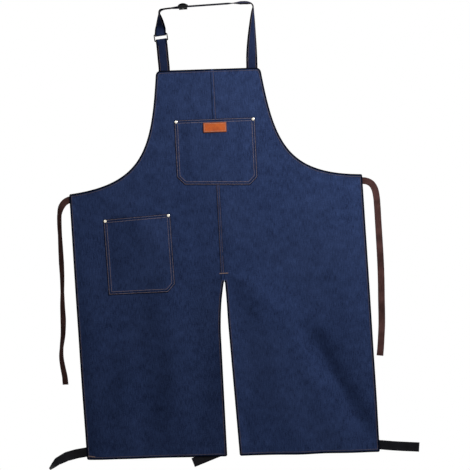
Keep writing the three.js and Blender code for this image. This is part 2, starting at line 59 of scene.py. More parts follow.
# Cloth pattern
CLOTH = 1.2 * MM  # thickness
BIB_HALF = 138 * MM
BODY_HALF = 388 * MM
BIB_DEPTH = 305 * MM
ARMHOLE_FLARE_TOP = 24 * MM
ARMHOLE_FLARE_FOOT = 48 * MM
LENGTH = 1025 * MM
SPLIT_DEPTH = 562 * MM
SPLIT_OPEN = {-1: 16.5 * MM, 1: 16.7 * MM}
SEAM_SHIFT = 14 * MM
PIECE_DEPTH = 490 * MM  # the upper and lower meshes of a half meet here, between its two folds
LEAN = 0.066
SLOPE_TOP, SLOPE_WAIST, SLOPE_HEM = 0.033, 0.069, 0.027
BIB_CENTRE_X = -10.5 * MM
LOOP_HEIGHT = 170 * MM
CORNER = 12 * MM
HEM_CORNER = 5 * MM
HIP_CORNER = 4 * MM
SIDES = {"left": -1, "right": 1}
FRONT, BACK = (0, -1, 0), (0, 1, 0)

# Hems, seams and stitches
FELL_WIDTH = 8 * MM
STITCH_PITCH = 3.5 * MM
STITCH_LENGTH = 2.9 * MM
STITCH_WIDTH = 1.05 * MM
STITCH_HEIGHT = 0.55 * MM
HEM_STITCH_LIFT = 1.0 * MM
SEAM_STITCH_LIFT = 0.75 * MM
SPLIT_TACK_RISE = 20 * MM
RIVET_CLEARANCE = 6 * MM  # stitches stop this far from a rivet's middle

# Pockets, as the frame has them
CHEST = dict(
    across=8.4 * MM, depth=131.9 * MM, width=214 * MM, height=175.5 * MM, left=21 * MM, right=21 * MM,
    slope_top=0.039, slope_foot=0.0, lean=0.047, belly=3.6 * MM,
)
SIDE = dict(
    across=-213.7 * MM, depth=375.3 * MM, width=177.5 * MM, height=203.7 * MM, left=0.0, right=20 * MM,
    slope_top=0.092, slope_foot=0.049, lean=0.072, belly=5.0 * MM,
)
LABEL_SIZE = (62 * MM, 27 * MM, 1.8 * MM)
LABEL_DROP = 23 * MM
LABEL_ROW = 3.2 * MM
POCKET_ROWS = (2.2 * MM, 8.6 * MM)

# Neck strap, ring and slider
STRAP_WIDTH = 30 * MM
STRAP_THICKNESS = 1.6 * MM
STRAP_TAIL = 25 * MM
STRAP_INSET = 6.8 * MM
STRAP_END_GAP = 4.5 * MM
LAYER_GAP = 0.6 * MM
LOOP_LAP = 6 * MM
LANE_SLOPE = 0.071
RING_HEIGHT = 20 * MM
RING_BAR = 3.2 * MM
RING_THICKNESS = 2.5 * MM
RING_X, RING_Z = -135.5 * MM, -86 * MM
RING_TILT = math.radians(8)
RING_ROCK_PLAY = 1.75 * MM
SLIDER_X = -77 * MM
SLIDER_LENGTH = 22 * MM
SLIDER_TRAVEL_LEFT = 3 * MM
SLIDER_TRAVEL_RIGHT = 105 * MM
BEHIND_PANEL = CLOTH / 2 + 0.3 * MM
STRAP_ROW_INSET = 5 * MM

# Ties and webbing
TIE_WIDTH, TIE_THICKNESS = 18 * MM, 1.2 * MM
WEBBING_WIDTH, WEBBING_THICKNESS, WEBBING_TAIL = 25 * MM, 1.8 * MM, 25 * MM

# Heights of the folds between the bodies above and below them; no piece is bent over them
NECK_FOLD = (-154.5 * MM, -172.5 * MM)
WAIST_FOLD = (-520 * MM, -548 * MM)
LEG_FOLD = (-772 * MM, -802 * MM)

WAVE_SPAN = 0.3142  # spacing of a wave texture's bands at scale 1


def smooth(low, high, value):
    """0 up to low, 1 from high on, and an S-curve between; falls instead where high is the lower."""
    part = np.clip((value - low) / (high - low), 0, 1)
    return part * part * (3 - 2 * part)


def run_along(points):
    """Distance run along a line of points, 0 at its first."""
    return np.concatenate([[0], np.cumsum(np.linalg.norm(np.diff(points, axis=0), axis=1))])


def even_line(corners, step):
    """The straight lines from corner to corner as evenly placed points about a step apart."""
    corners = np.array(corners)
    run = run_along(corners)
    even = np.linspace(0, run[-1], int(run[-1] / step))
    return np.interp(even, run, corners[:, 0]), np.interp(even, run, corners[:, 1])


def beside(points, other):
    """Two grids or lists as one array of pairs on a new last axis."""
    return np.stack(np.broadcast_arrays(points, other), -1)


# ---- camera, floor and light ----


def add_camera():
    """Level camera square to the apron's front; its view is 1245.5 mm wide at the cloth."""
    lens, sensor, view_width = 150, 36, 1.2455
    data = bpy.data.cameras.new("camera")
    data.lens, data.sensor_width, data.clip_end = lens, sensor, 100
    camera = bpy.data.objects.new("camera", data)
    camera.location = (0.06095, -view_width * lens / sensor, -0.6095)
    camera.rotation_euler = (math.pi / 2, 0, 0)
    bpy.context.collection.objects.link(camera)
    bpy.context.scene.camera = camera


def add_light(name, place, target, size, power):
    """A round soft light at a place, turned towards its target."""
    data = bpy.data.lights.new(name, "AREA")
    data.shape, data.size, data.energy = "DISK", size, power
    light = bpy.data.objects.new(name, data)
    light.location = place
    light.rotation_euler = (Vector(target) - Vector(place)).to_track_quat("-Z", "Y").to_euler()
    bpy.context.collection.objects.link(light)


def add_studio():
    """A soft key light high on the right, weak fills left and behind, and a white room to see."""
    add_light("key_light", (0.85, -0.9, 0.35), (0.0, 0.0, -0.4), 0.5, 18)
    add_light("fill_light", (-1.0, -1.0, 0.6), (-0.1, 0.0, -0.1), 0.8, 2.5)
    add_light("back_light", (-0.8, 2.4, 0.4), (0.0, 0.0, -0.6), 1.2, 32)
    world = bpy.data.worlds.new("white_room")
    bpy.context.scene.world = world
    world.use_nodes = True
    tree = world.node_tree
    tree.nodes.clear()
    camera_ray = node(tree, "ShaderNodeLightPath", out="Is Camera Ray")
    glossy_ray = node(tree, "ShaderNodeLightPath", out="Is Glossy Ray")
    lit = node(tree, "ShaderNodeBackground", {"Color": (1, 1, 1, 1), "Strength": 0.07})
    seen = node(tree, "ShaderNodeBackground", {"Color": (1, 1, 1, 1), "Strength": 1.0})
    shown = node(tree, "ShaderNodeMath", {0: glossy_ray, 1: 0.8, 2: camera_ray}, operation="MULTIPLY_ADD")
    both = node(tree, "ShaderNodeMixShader", {0: shown, 1: lit, 2: seen})
    node(tree, "ShaderNodeOutputWorld", {"Surface": both})
    bpy.context.scene.view_settings.view_transform = "Standard"


# ---- materials ----


def linear(colour):
    """An sRGB hex colour as linear RGBA."""
    parts = [int(colour[i:i + 2], 16) / 255 for i in (1, 3, 5)]
    return (*[p / 12.92 if p <= 0.04045 else ((p + 0.055) / 1.055) ** 2.4 for p in parts], 1.0)


def node(tree, kind, inputs=None, out=0, **settings):
    """Adds a node with its settings and gives its output `out`. An input that is a socket is linked,
    any other is set."""
    made = tree.nodes.new(kind)
    for name, value in settings.items():
        setattr(made, name, value)
    for name, value in (inputs or {}).items():
        if isinstance(value, bpy.types.NodeSocket):
            tree.links.new(value, made.inputs[name])
        else:
            made.inputs[name].default_value = value
    return made.outputs[out] if made.outputs else None


def new_material(name, **sockets):
    """A Principled material with constants on its sockets; gives (material, tree, shader)."""
    material = bpy.data.materials.new(name)
    material.use_nodes = True
    tree = material.node_tree
    shader = tree.nodes["Principled BSDF"]
    for socket, value in sockets.items():
        shader.inputs[socket.replace("_", " ")].default_value = value
    return material, tree, shader


def patches(tree, place, size, dark, pale, detail=2.0, low=0.3, high=0.7):
    """Two colours in soft noise patches about `size` millimetres wide, parting between low and high."""
    clouds = {"Vector": place, "Scale": 1 / (size * MM), "Detail": detail}
    cloud = node(tree, "ShaderNodeTexNoise", clouds, "Fac")
    part = node(tree, "ShaderNodeMapRange", {"Value": cloud, "From Min": low, "From Max": high})
    return node(tree, "ShaderNodeMix", {0: part, 6: linear(dark), 7: linear(pale)}, 2, data_type="RGBA")


def yarn_layers(tree, pattern, tone, layers):
    """Adds layers of uneven yarn to a tone. Each is noise on the pattern, stretched to `width` by
    `length` millimetres and carried to low..high. Gives the tone and each layer's own noise."""
    yarns = []
    for width, length, detail, rough, low, high in layers:
        scale = (1 / (width * MM), 1 / (length * MM), 1)
        place = node(tree, "ShaderNodeMapping", {"Vector": pattern, "Scale": scale})
        uneven = {"Vector": place, "Scale": 1.0, "Detail": detail, "Roughness": rough}
        yarns.append(node(tree, "ShaderNodeTexNoise", uneven, "Fac"))
        carried = {"Value": yarns[-1], "From Min": 0.3, "From Max": 0.7, "To Min": low, "To Max": high}
        added = node(tree, "ShaderNodeMapRange", carried)
        tone = node(tree, "ShaderNodeMath", {0: tone, 1: added}, operation="ADD")
    return tone, yarns


def denim(name, warp, deep, fade):
    """Rope-dyed indigo twill, woven 3 over 1: matt, with slubby warp streaks down the cloth,
    pale weft specks on a steep diagonal, and painted shade on hems, seams and edges.
    The twill line is drawn 1.9 mm apart, three times the real thread spacing, so that it shows."""
    material, tree, shader = new_material(name, Roughness=0.9, Specular_IOR_Level=0.03)
    pattern = node(tree, "ShaderNodeUVMap", uv_map="pattern")
    turn = {"Vector": pattern, "Rotation": (0, 0, math.radians(-27))}
    diagonal = {
        "Vector": node(tree, "ShaderNodeMapping", turn), "Scale": WAVE_SPAN / (1.904 * MM),
        "Distortion": 1.2, "Detail": 1.0, "Detail Scale": 3.0,
    }
    twill = node(tree, "ShaderNodeTexWave", diagonal, "Fac", bands_direction="X")
    tone = node(tree, "ShaderNodeMapRange", {"Value": twill, "To Min": 0.43, "To Max": 0.57})
    streaks_slubs_and_mottle = [
        (2.0833, 16.667, 3.0, 0.6, -0.38, 0.38),
        (3.0303, 3.0303, 2.0, 0.6, -0.24, 0.24),
        (29.412, 29.412, 4.0, 0.6, -0.2, 0.2),
    ]
    tone, yarns = yarn_layers(tree, pattern, tone, streaks_slubs_and_mottle)
    colour = node(tree, "ShaderNodeMix", {0: tone, 6: linear(deep), 7: linear(warp)}, 2, data_type="RGBA")
    wear = {"Vector": pattern, "Scale": 1 / (200 * MM), "Detail": 1.0}
    worn = node(tree, "ShaderNodeTexNoise", wear, "Fac")
    worn = node(tree, "ShaderNodeMath", {0: worn, 1: twill}, operation="MULTIPLY")
    worn = node(tree, "ShaderNodeMapRange", {"Value": worn, "From Min": 0.3, "From Max": 0.62, "To Max": 0.2})
    colour = node(tree, "ShaderNodeMix", {0: worn, 6: colour, 7: linear(fade)}, 2, data_type="RGBA")
    # Painted shade: the colour falls to 0.07 at 2.8 mm or less from an edge, a hem's fold, the felled seam's
    # edge or a pocket's stitch rows, and is back to full by 6.4 mm.
    edge = node(tree, "ShaderNodeAttribute", out="Fac", attribute_name="edge")
    painted_edge_shade = {"Value": edge, "From Min": 2.8 * MM, "From Max": 6.4 * MM, "To Min": 0.07, "To Max": 1.0}
    dark = node(tree, "ShaderNodeMapRange", painted_edge_shade)
    # Painted shade: the painted_shade attribute darkens the left leg's lower cloth.
    painted_shade = node(tree, "ShaderNodeAttribute", out="Fac", attribute_name="painted_shade")
    dark = node(tree, "ShaderNodeMath", {0: dark, 1: painted_shade}, operation="MULTIPLY")
    colour = node(tree, "ShaderNodeVectorMath", {0: colour, "Scale": dark}, operation="SCALE")
    tree.links.new(colour, shader.inputs["Base Color"])
    weave = node(tree, "ShaderNodeMath", {0: twill, 1: 0.5, 2: yarns[0]}, operation="MULTIPLY_ADD")
    bump = node(tree, "ShaderNodeBump", {"Height": weave, "Strength": 0.5, "Distance": 0.25 * MM})
    tree.links.new(bump, shader.inputs["Normal"])
    return material


def sewing_thread(name, shaded, crown):
    """Core-spun polyester thread: a slight silky gloss and a fine twist of two shades."""
    material, tree, shader = new_material(name, Roughness=0.6, Sheen_Weight=0.1)
    place = node(tree, "ShaderNodeTexCoord", out="Object")
    tree.links.new(patches(tree, place, 1.1111, shaded, crown), shader.inputs["Base Color"])
    return material


def tan_leather():
    """Vegetable-tanned cowhide, drum dyed tan and waxed: warm, fine pebbled grain 1.1 mm across,
    soft gloss, and edges darkened, partly as burnish and partly as painted shadow."""
    material, tree, shader = new_material(
        "veg_tanned_cowhide", Roughness=0.5, Coat_Weight=0.12, Coat_Roughness=0.35
    )
    place = node(tree, "ShaderNodeTexCoord", out="Object")
    colour = patches(tree, place, 16.667, "#b84c12", "#dc6a20", 4.0)
    pebbles = {"Vector": place, "Scale": 1 / (1.1111 * MM)}
    pebble = node(tree, "ShaderNodeTexVoronoi", pebbles, "Distance", feature="DISTANCE_TO_EDGE")
    pores = node(tree, "ShaderNodeMapRange", {"Value": pebble, "From Max": 0.12, "To Min": 0.25, "To Max": 0})
    colour = node(tree, "ShaderNodeMix", {0: pores, 6: colour, 7: linear("#6b2f14")}, 2, data_type="RGBA")
    # The last 2.3 mm to the edge darken: partly a burnished edge, partly a painted shadow round the label.
    edge = node(tree, "ShaderNodeAttribute", out="Fac", attribute_name="edge")
    rubbed_and_shaded = {"Value": edge, "From Min": 0.9 * MM, "From Max": 2.3 * MM, "To Min": 0.9, "To Max": 0}
    burnish_and_shadow = node(tree, "ShaderNodeMapRange", rubbed_and_shaded)
    colour = node(tree, "ShaderNodeMix", {0: burnish_and_shadow, 6: colour, 7: linear("#4a2010")}, 2, data_type="RGBA")
    tree.links.new(colour, shader.inputs["Base Color"])
    bump = node(tree, "ShaderNodeBump", {"Height": pebble, "Strength": 0.3, "Distance": 0.3 * MM})
    tree.links.new(bump, shader.inputs["Normal"])
    return material


def polished_brass():
    """Stamped brass, tumbled bright: pale gold with soft scuffs in the gloss."""
    material, tree, shader = new_material("stamped_brass", Metallic=1.0, Roughness=0.24)
    place = node(tree, "ShaderNodeTexCoord", out="Object")
    rubs = {"Vector": place, "Scale": 1 / (1.4286 * MM), "Detail": 3.0}
    scuffs = node(tree, "ShaderNodeTexNoise", rubs, "Fac")
    dulled = {"Value": scuffs, "From Min": 0.3, "From Max": 0.7, "To Min": 0.16, "To Max": 0.34}
    tree.links.new(node(tree, "ShaderNodeMapRange", dulled), shader.inputs["Roughness"])
    colour = patches(tree, place, 5, "#f2e6cc", "#fffaf0", low=0.35, high=0.65)
    tree.links.new(colour, shader.inputs["Base Color"])
    return material


def black_enamel():
    """Die-cast zinc under baked black enamel: near black, with a satin gloss and orange peel."""
    material, tree, shader = new_material("baked_black_enamel", Roughness=0.42, Specular_IOR_Level=0.15)
    place = node(tree, "ShaderNodeTexCoord", out="Object")
    tree.links.new(patches(tree, place, 0.90909, "#060608", "#0d0d10"), shader.inputs["Base Color"])
    peel = node(tree, "ShaderNodeTexNoise", {"Vector": place, "Scale": 1 / (0.90909 * MM)}, "Fac")
    bump = node(tree, "ShaderNodeBump", {"Height": peel, "Strength": 0.15, "Distance": 0.1 * MM})
    tree.links.new(bump, shader.inputs["Normal"])
    return material


def woven_tape(name, warp, weft, rib, roughness):
    """Narrow woven tape: ribs run across it, `rib` millimetres apart, with darker gaps and a paler
    crown."""
    material, tree, shader = new_material(name, Roughness=roughness, Specular_IOR_Level=0.1)
    pattern = node(tree, "ShaderNodeUVMap", uv_map="pattern")
    ribbing = {"Vector": pattern, "Scale": WAVE_SPAN / (rib * MM), "Distortion": 0.4, "Detail": 0.0}
    ribs = node(tree, "ShaderNodeTexWave", ribbing, "Fac", bands_direction="Y")
    tone = node(tree, "ShaderNodeMath", {0: ribs, 1: 0.5}, operation="MULTIPLY")
    yarn_and_long_shade = [(1.42857, 16.667, 2.0, 0.5, -0.1, 0.35), (166.67, 45.4545, 2.0, 0.5, -0.3, 0.3)]
    tone, yarns = yarn_layers(tree, pattern, tone, yarn_and_long_shade)
    colour = node(tree, "ShaderNodeMix", {0: tone, 6: linear(warp), 7: linear(weft)}, 2, data_type="RGBA")
    edge = node(tree, "ShaderNodeAttribute", out="Fac", attribute_name="edge")
    selvedge = {"Value": edge, "From Max": 1.5 * MM, "To Min": 0.5, "To Max": 0}
    dark = node(tree, "ShaderNodeMapRange", selvedge)
    colour = node(tree, "ShaderNodeMix", {0: dark, 6: colour, 7: linear(warp)}, 2, data_type="RGBA")
    tree.links.new(colour, shader.inputs["Base Color"])
    height = node(tree, "ShaderNodeMath", {0: yarns[0], 1: 0.4, 2: ribs}, operation="MULTIPLY_ADD")
    bump = node(tree, "ShaderNodeBump", {"Height": height, "Strength": 0.5, "Distance": 0.3 * MM})
    tree.links.new(bump, shader.inputs["Normal"])
    return material


def studio_floor():
    """Matt white paint on a plain board, so pale that it reads as the white room."""
    material, tree, shader = new_material("matt_white_paint", Roughness=0.9)
    place = node(tree, "ShaderNodeTexCoord", out="Object")
    colour = patches(tree, place, 333.33, "#f4f4f4", "#fafafa", low=0, high=1)
    tree.links.new(colour, shader.inputs["Base Color"])
    return material


# ---- mesh making ----


def signed_volume(points, faces):
    """Six times the volume inside closed faces, from fans of triangles at each face's first corner."""
    total = 0.0
    for block in faces:
        for i in range(1, block.shape[1] - 1):
            area = np.cross(points[block[:, i]], points[block[:, i + 1]])
            total += np.einsum("ij,ij->i", points[block[:, 0]], area).sum()
    return total


def make_piece(name, shells, material):
    """One object from closed shells, each (points, [face blocks], uv, edge, painted_shade) with faces turned
    out. uv is the place on the cloth in metres, edge the distance in from the edge, painted_shade a factor of
    painted shade on its colour."""
    all_points, all_faces, all_uv, all_edge, all_painted_shade, base = [], [], [], [], [], 0
    for points, faces, uv, edge, painted_shade in shells:
        inward = signed_volume(points, faces) < 0
        for block in faces:
            all_faces.append((block[:, ::-1] if inward else block) + base)
        all_points.append(points)
        all_uv.append(uv)
        all_edge.append(np.broadcast_to(edge, len(points)))
        all_painted_shade.append(np.broadcast_to(painted_shade, len(points)))
        base += len(points)
    points = np.concatenate(all_points)
    corners = np.concatenate([block.ravel() for block in all_faces])
    sizes = np.concatenate([np.full(len(block), block.shape[1]) for block in all_faces])
    mesh = bpy.data.meshes.new(name)
    mesh.vertices.add(len(points))
    mesh.vertices.foreach_set("co", points.astype(np.float32).ravel())
    mesh.loops.add(len(corners))
    mesh.loops.foreach_set("vertex_index", corners.astype(np.int32))
    mesh.polygons.add(len(sizes))
    mesh.polygons.foreach_set("loop_start", (np.cumsum(sizes) - sizes).astype(np.int32))
    mesh.update(calc_edges=True)
    uv_layer = mesh.uv_layers.new(name="pattern")
    uv_layer.data.foreach_set("uv", np.concatenate(all_uv)[corners].astype(np.float32).ravel())
    for layer, values in (("edge", all_edge), ("painted_shade", all_painted_shade)):
        attribute = mesh.attributes.new(layer, "FLOAT", "POINT")
        attribute.data.foreach_set("value", np.concatenate(values).astype(np.float32))
    mesh.validate()
    mesh.shade_smooth()
    mesh.set_sharp_from_angle(angle=math.radians(50))
    mesh.materials.append(material)
    piece = bpy.data.objects.new(name, mesh)
    bpy.context.collection.objects.link(piece)
    return piece


def grid_quads(index):
    """The four corners of every square of a grid of point numbers."""
    return np.stack([index[:-1, :-1], index[:-1, 1:], index[1:, 1:], index[1:, :-1]], -1).reshape(-1, 4)


def shell(front, back):
    """A closed sheet: two grids of points, rows by columns, joined all round their rim."""
    rows, cols = front.shape[:2]
    face = np.arange(rows * cols).reshape(rows, cols)
    ring = np.concatenate([face[0, :], face[1:, -1], face[-1, -2::-1], face[-2:0:-1, 0]])
    after = np.roll(ring, -1)
    behind = rows * cols
    rim = np.stack([after, ring, ring + behind, after + behind], 1)
    quads = np.concatenate([grid_quads(face), grid_quads(face + behind)[:, ::-1], rim])
    return np.concatenate([front.reshape(-1, 3), back.reshape(-1, 3)]), [quads]


def tube(sections):
    """A closed tube: sections is stations by ring points, capped at both ends."""
    count, around = sections.shape[:2]
    index = np.arange(count * around).reshape(count, around)
    index = np.concatenate([index, index[:, :1]], 1)
    ends = [index[:1, :-1], index[-1:, -2::-1]]
    return sections.reshape(-1, 3), [grid_quads(index)[:, ::-1], *ends]


# ---- how the pattern hangs ----


def grain_slope(depth):
    """Slope of the cross grain: the parabola through its values at the bib, waist and hem."""
    top = SLOPE_TOP * (depth - BIB_DEPTH) * (depth - LENGTH) / (BIB_DEPTH * LENGTH)
    waist = SLOPE_WAIST * depth * (depth - LENGTH) / (BIB_DEPTH * (BIB_DEPTH - LENGTH))
    hem = SLOPE_HEM * depth * (depth - BIB_DEPTH) / (LENGTH * (LENGTH - BIB_DEPTH))
    return top + waist + hem


def hang(across, depth):
    """(x, z) of a pattern place: it leans sideways with depth, and the cross grain slopes."""
    return BIB_CENTRE_X + across + LEAN * depth, -LOOP_HEIGHT - depth + grain_slope(depth) * across


def seam_across(depth):
    """The middle seam, which runs straight from beside the bib's middle to the hem's middle."""
    return SEAM_SHIFT * (1 - depth / LENGTH)


def pocket_place(pocket, across, down):
    """(x, z) of a pocket place, across from its middle and down from its mouth."""
    x, z = hang(pocket["across"], pocket["depth"])
    part = down / pocket["height"]
    slope = pocket["slope_top"] + (pocket["slope_foot"] - pocket["slope_top"]) * part
    return x + across + pocket["lean"] * down, z - down + slope * across


# Slow rolls: height at the waist and added by the hem, slant, wavelength, both in mm, and phase.
ROLLS = [(0.6, 3.4, 0.25, 235, 0.7), (0.5, 2.0, -0.4, 131, 2.1)]

# Soft folds: from (x, z) to (x, z), half width and height to the front, in millimetres.
FOLDS = [
    (236, -835, 428, -1165, 30, -18),
    (190, -830, 345, -1180, 42, 10),
    (45, -712, 300, -885, 42, 8),
    (60, -1040, 112, -1180, 12, -4),
    (42, -712, 92, -735, 7, 2.4),
    (30, -790, 50, -1240, 36, 12),
    (-50, -800, -30, -1230, 40, -6),
    (-120, -700, -90, -1230, 46, 8),
    (-235, -860, -215, -1235, 38, 8),
    (-330, -700, -300, -1230, 40, 6),
    (110, -740, 260, -1235, 38, 7),
    (330, -560, 380, -900, 50, 5),
    (-300, -515, -30, -690, 40, 5),
    (360, -470, 110, -670, 42, 6),
    (-62, -235, -36, -285, 9, 1.2),
    (60, -215, 45, -290, 11, 1.0),
    (10, -480, 60, -650, 20, 2),
]


def middle_of(name):
    """(x, z) of the middle of one of the frame's nodes."""
    return np.mean(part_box(name), axis=0)[[0, 2]]


RIVETS = [middle_of(f"{pocket}_rivet_{side}") for pocket in ("chest", "side") for side in SIDES]
STILL = RIVETS + [middle_of(f"neck_strap_end_{side}") for side in SIDES]


def drape(x, z):
    """How far the cloth hangs back (+Y) from its plane: sine rolls that grow down the legs, less
    each soft fold, a bell-shaped ridge along a line that fades at its ends, all stilled near rivets."""
    x, z = np.asarray(x, float), np.asarray(z, float)
    down = smooth(-450 * MM, -1150 * MM, z)
    y = 0
    for height, more, slant, wavelength, phase in ROLLS:
        turn = (x + slant * z) * 2 * math.pi / (wavelength * MM) + phase
        y = y + (height + more * down) * MM * np.sin(turn)
    for x0, z0, x1, z1, width, height in np.array(FOLDS) * MM:
        run = math.hypot(x1 - x0, z1 - z0)
        along = ((x - x0) * (x1 - x0) + (z - z0) * (z1 - z0)) / run ** 2
        off = ((x - x0) * (z1 - z0) - (z - z0) * (x1 - x0)) / run
        faded = smooth(-0.2, 0.3, along) * (1 - smooth(0.75, 1.2, along))
        y = y - height * np.exp(-(off / width) ** 2) * faded
    for still_x, still_z in STILL:
        y = y * (1 - np.exp(-((x - still_x) ** 2 + (z - still_z) ** 2) / (50 * MM) ** 2))
    return y


def painted_shade_at(x, z):
    """Painted shade: the left half's lower cloth is a little darker, fading in down the leg."""
    left = 1 - smooth(-30 * MM, 30 * MM, x + LEAN * (z + LOOP_HEIGHT) - BIB_CENTRE_X)
    return 1 - left * 0.18 * smooth(-400 * MM, -1150 * MM, z)


# ---- cloth halves ----


def armhole_curve(count=200):
    """(across, depth) of the armhole: the pattern's cubic curve from the bib's corner to the hip."""
    t = np.linspace(0, 1, count)[:, None]
    a, b, c, d = np.array([
        (BIB_HALF, 0), (BIB_HALF + ARMHOLE_FLARE_TOP, BIB_DEPTH * 0.655),
        (BIB_HALF + ARMHOLE_FLARE_FOOT, BIB_DEPTH * 0.955), (BODY_HALF, BIB_DEPTH),
    ])
    curve = a * (1 - t) ** 3 + 3 * b * t * (1 - t) ** 2 + 3 * c * t * t * (1 - t) + d * t ** 3
    return curve[:, 0], curve[:, 1]


def outer_across(depth):
    """Distance of the outer edge from the centreline, with its three corners rounded."""
    across, down = armhole_curve()
    edge = np.where(depth < BIB_DEPTH, np.interp(depth, down, across), BODY_HALF)
    inset = np.clip(CORNER - depth, 0, CORNER)
    edge = edge - CORNER + np.sqrt(CORNER ** 2 - inset ** 2)
    hip_top = np.interp(BODY_HALF - HIP_CORNER, across, down)
    inset = np.clip(HIP_CORNER - (depth - hip_top), 0, HIP_CORNER)
    rounded = BODY_HALF - HIP_CORNER + np.sqrt(HIP_CORNER ** 2 - inset ** 2)
    edge = np.where(depth > hip_top, rounded, edge)
    inset = np.clip(depth - (LENGTH - HEM_CORNER), 0, HEM_CORNER)
    return edge - HEM_CORNER + np.sqrt(HEM_CORNER ** 2 - inset ** 2)


def inner_across(depth, side):
    """The seam down to the split, then the split's edge, rounded at the hem."""
    part = np.clip((depth - SPLIT_DEPTH) / (LENGTH - SPLIT_DEPTH), 0, 1)
    opened = 1 - (1 - np.minimum(1, part / 0.3)) ** 1.7 if side < 0 else part
    inset = np.clip(depth - (LENGTH - HEM_CORNER), 0, HEM_CORNER)
    rounding = HEM_CORNER - np.sqrt(HEM_CORNER ** 2 - inset ** 2)
    below = depth - SPLIT_DEPTH
    eased = 1.3 * MM * smooth(0, 4 * MM, below) * smooth(120 * MM, 40 * MM, below)
    return seam_across(depth) + side * (SPLIT_OPEN[side] * opened + rounding + eased)


def row_depths(start, end):
    """Row places: dense at rounded corners and where the armhole runs nearly level."""
    corner = CORNER * (1 - np.cos(np.linspace(0, math.pi / 2, 9)))
    armhole = armhole_curve(90)[1]
    hip = np.interp(BODY_HALF - HIP_CORNER, *armhole_curve())
    hip = hip + HIP_CORNER * (1 - np.cos(np.linspace(0, math.pi / 2, 7)))
    hem = LENGTH - corner * HEM_CORNER / CORNER
    depths = np.concatenate([corner, armhole, hip, hem, np.arange(BIB_DEPTH, LENGTH, 5 * MM), [start, end]])
    depths = np.unique(np.round(depths[(depths >= start) & (depths <= end)], 6))
    kept = np.concatenate([[True], np.diff(depths) > 0.12 * MM])
    kept[-1] = True
    return depths[kept]


def cloth_shell(side, start, end):
    """One half's sheet between two depths: rows by columns of pattern places, hung and draped. The
    left half carries the felled seam, a flat ridge FELL_WIDTH wide along its inner edge."""
    depth = row_depths(start, end)[:, None]
    inner, outer = side * inner_across(depth, side), outer_across(depth)
    fixed = np.array([0, 0.6, 1.4, 4, FELL_WIDTH / MM - 1, FELL_WIDTH / MM + 0.4, 12]) * MM
    free = fixed[-1] + (outer - inner - fixed[-1]) * np.linspace(0, 1, 74)[1:]
    within = np.concatenate([np.broadcast_to(fixed, (len(depth), len(fixed))), free], 1)
    across = side * (inner + within)
    depth = np.broadcast_to(depth, across.shape)
    x, z = hang(across, depth)
    middle = drape(x, z)
    sewn = smooth(SPLIT_DEPTH, SPLIT_DEPTH - 6 * MM, depth)
    ridge = 0.7 * MM * sewn * smooth(FELL_WIDTH + 0.4 * MM, FELL_WIDTH - 1 * MM, within) * (side < 0)
    front = np.stack([x, middle - CLOTH / 2 - ridge, z], -1)
    back = np.stack([x, middle + CLOTH / 2, z], -1)
    points, faces = shell(front, back)
    uv = np.stack([across, -depth], -1).reshape(-1, 2)
    # The distance from the felled seam's edge, or from the right half's inner edge, becomes edge, where the
    # denim paints shade.
    groove = np.abs(within - FELL_WIDTH) if side < 0 else within
    edge = np.where(sewn > 0.5, np.minimum(groove + 4.0 * MM, 9 * MM), 9 * MM).ravel()
    painted_shade = painted_shade_at(x, z).ravel()
    # The back face takes the painted shade 1.25 times brighter than the front.
    return points, faces, np.tile(uv, (2, 1)), np.tile(edge, 2), np.concatenate([painted_shade, painted_shade * 1.25])


def hem_route(side, start, end):
    """The half's hemmed edge between two depths as (across, depth, inward across, inward down)."""
    if start == 0:
        top = np.linspace(seam_across(0), side * (BIB_HALF - CORNER), 40)[:-1]
        down = row_depths(0, end)
        across = np.concatenate([top, side * outer_across(down)])
        depth = np.concatenate([np.zeros(len(top)), down])
    else:
        down, up = row_depths(start, LENGTH), row_depths(SPLIT_DEPTH, LENGTH)[::-1]
        outer_end = side * (BODY_HALF - HEM_CORNER)
        inner_end = seam_across(LENGTH) + side * (SPLIT_OPEN[side] + HEM_CORNER)
        hem = np.linspace(outer_end, inner_end, 90)[1:-1]
        across = np.concatenate([side * outer_across(down), hem, inner_across(up, side)])
        depth = np.concatenate([down, np.full(len(hem), LENGTH), up])
    step = np.hypot(np.diff(across), np.diff(depth))
    kept = np.concatenate([[True], step > 0.3 * MM])
    across, depth = across[kept], depth[kept]
    across, depth = even_line(beside(across, depth), 3.2 * MM)
    run_across, run_depth = np.gradient(across), np.gradient(depth)
    size = np.hypot(run_across, run_depth)
    return across, depth, -side * run_depth / size, side * run_across / size


# Hem section: (in from the edge, out of the cloth's front), a folded edge with its back thick.
HEM_SECTION = [
    (9.4, 0.55), (8.2, 0.68), (7.0, 1.02), (5.4, 0.98), (3.2, 1.12), (1.4, 1.18), (0.4, 0.95), (-0.1, 0.35),
    (-0.1, -0.4), (0.4, -1.1), (1.6, -1.5), (4.0, -1.6), (6.6, -1.55), (7.6, -1.3), (8.0, -0.7), (8.0, 0.0),
]


def hem_shell(side, start, end):
    """The turned hem: HEM_SECTION carried along the half's edge, following the drape."""
    across, depth, in_across, in_down = (v[:, None] for v in hem_route(side, start, end))
    inward, out = (np.array(HEM_SECTION) * MM).T
    place_across, place_depth = across + in_across * inward, depth + in_down * inward
    x, z = hang(place_across, place_depth)
    sections = np.stack([x, drape(x, z) - out, z], -1)
    points, faces = tube(sections)
    uv = np.stack([place_across, -place_depth], -1).reshape(-1, 2)
    # edge is near zero along the hem's folded rim and behind it, where the denim paints shade.
    edge = np.broadcast_to(np.maximum(inward, 0) + 0.25 * MM * (out < 0), place_across.shape)
    return points, faces, uv, edge.ravel(), painted_shade_at(x, z).ravel()


def hem_stitches(side, start, end):
    """Places of the hem's stitch row on the front: 5.6 mm in at the sides, 6.8 mm at top and hem."""
    across, depth, in_across, in_down = hem_route(side, start, end)
    inset = (5.6 + 1.2 * in_down ** 2) * MM
    x, z = hang(across + in_across * inset, depth + in_down * inset)
    return np.stack([x, drape(x, z) - HEM_STITCH_LIFT, z], -1)


# ---- stitches ----


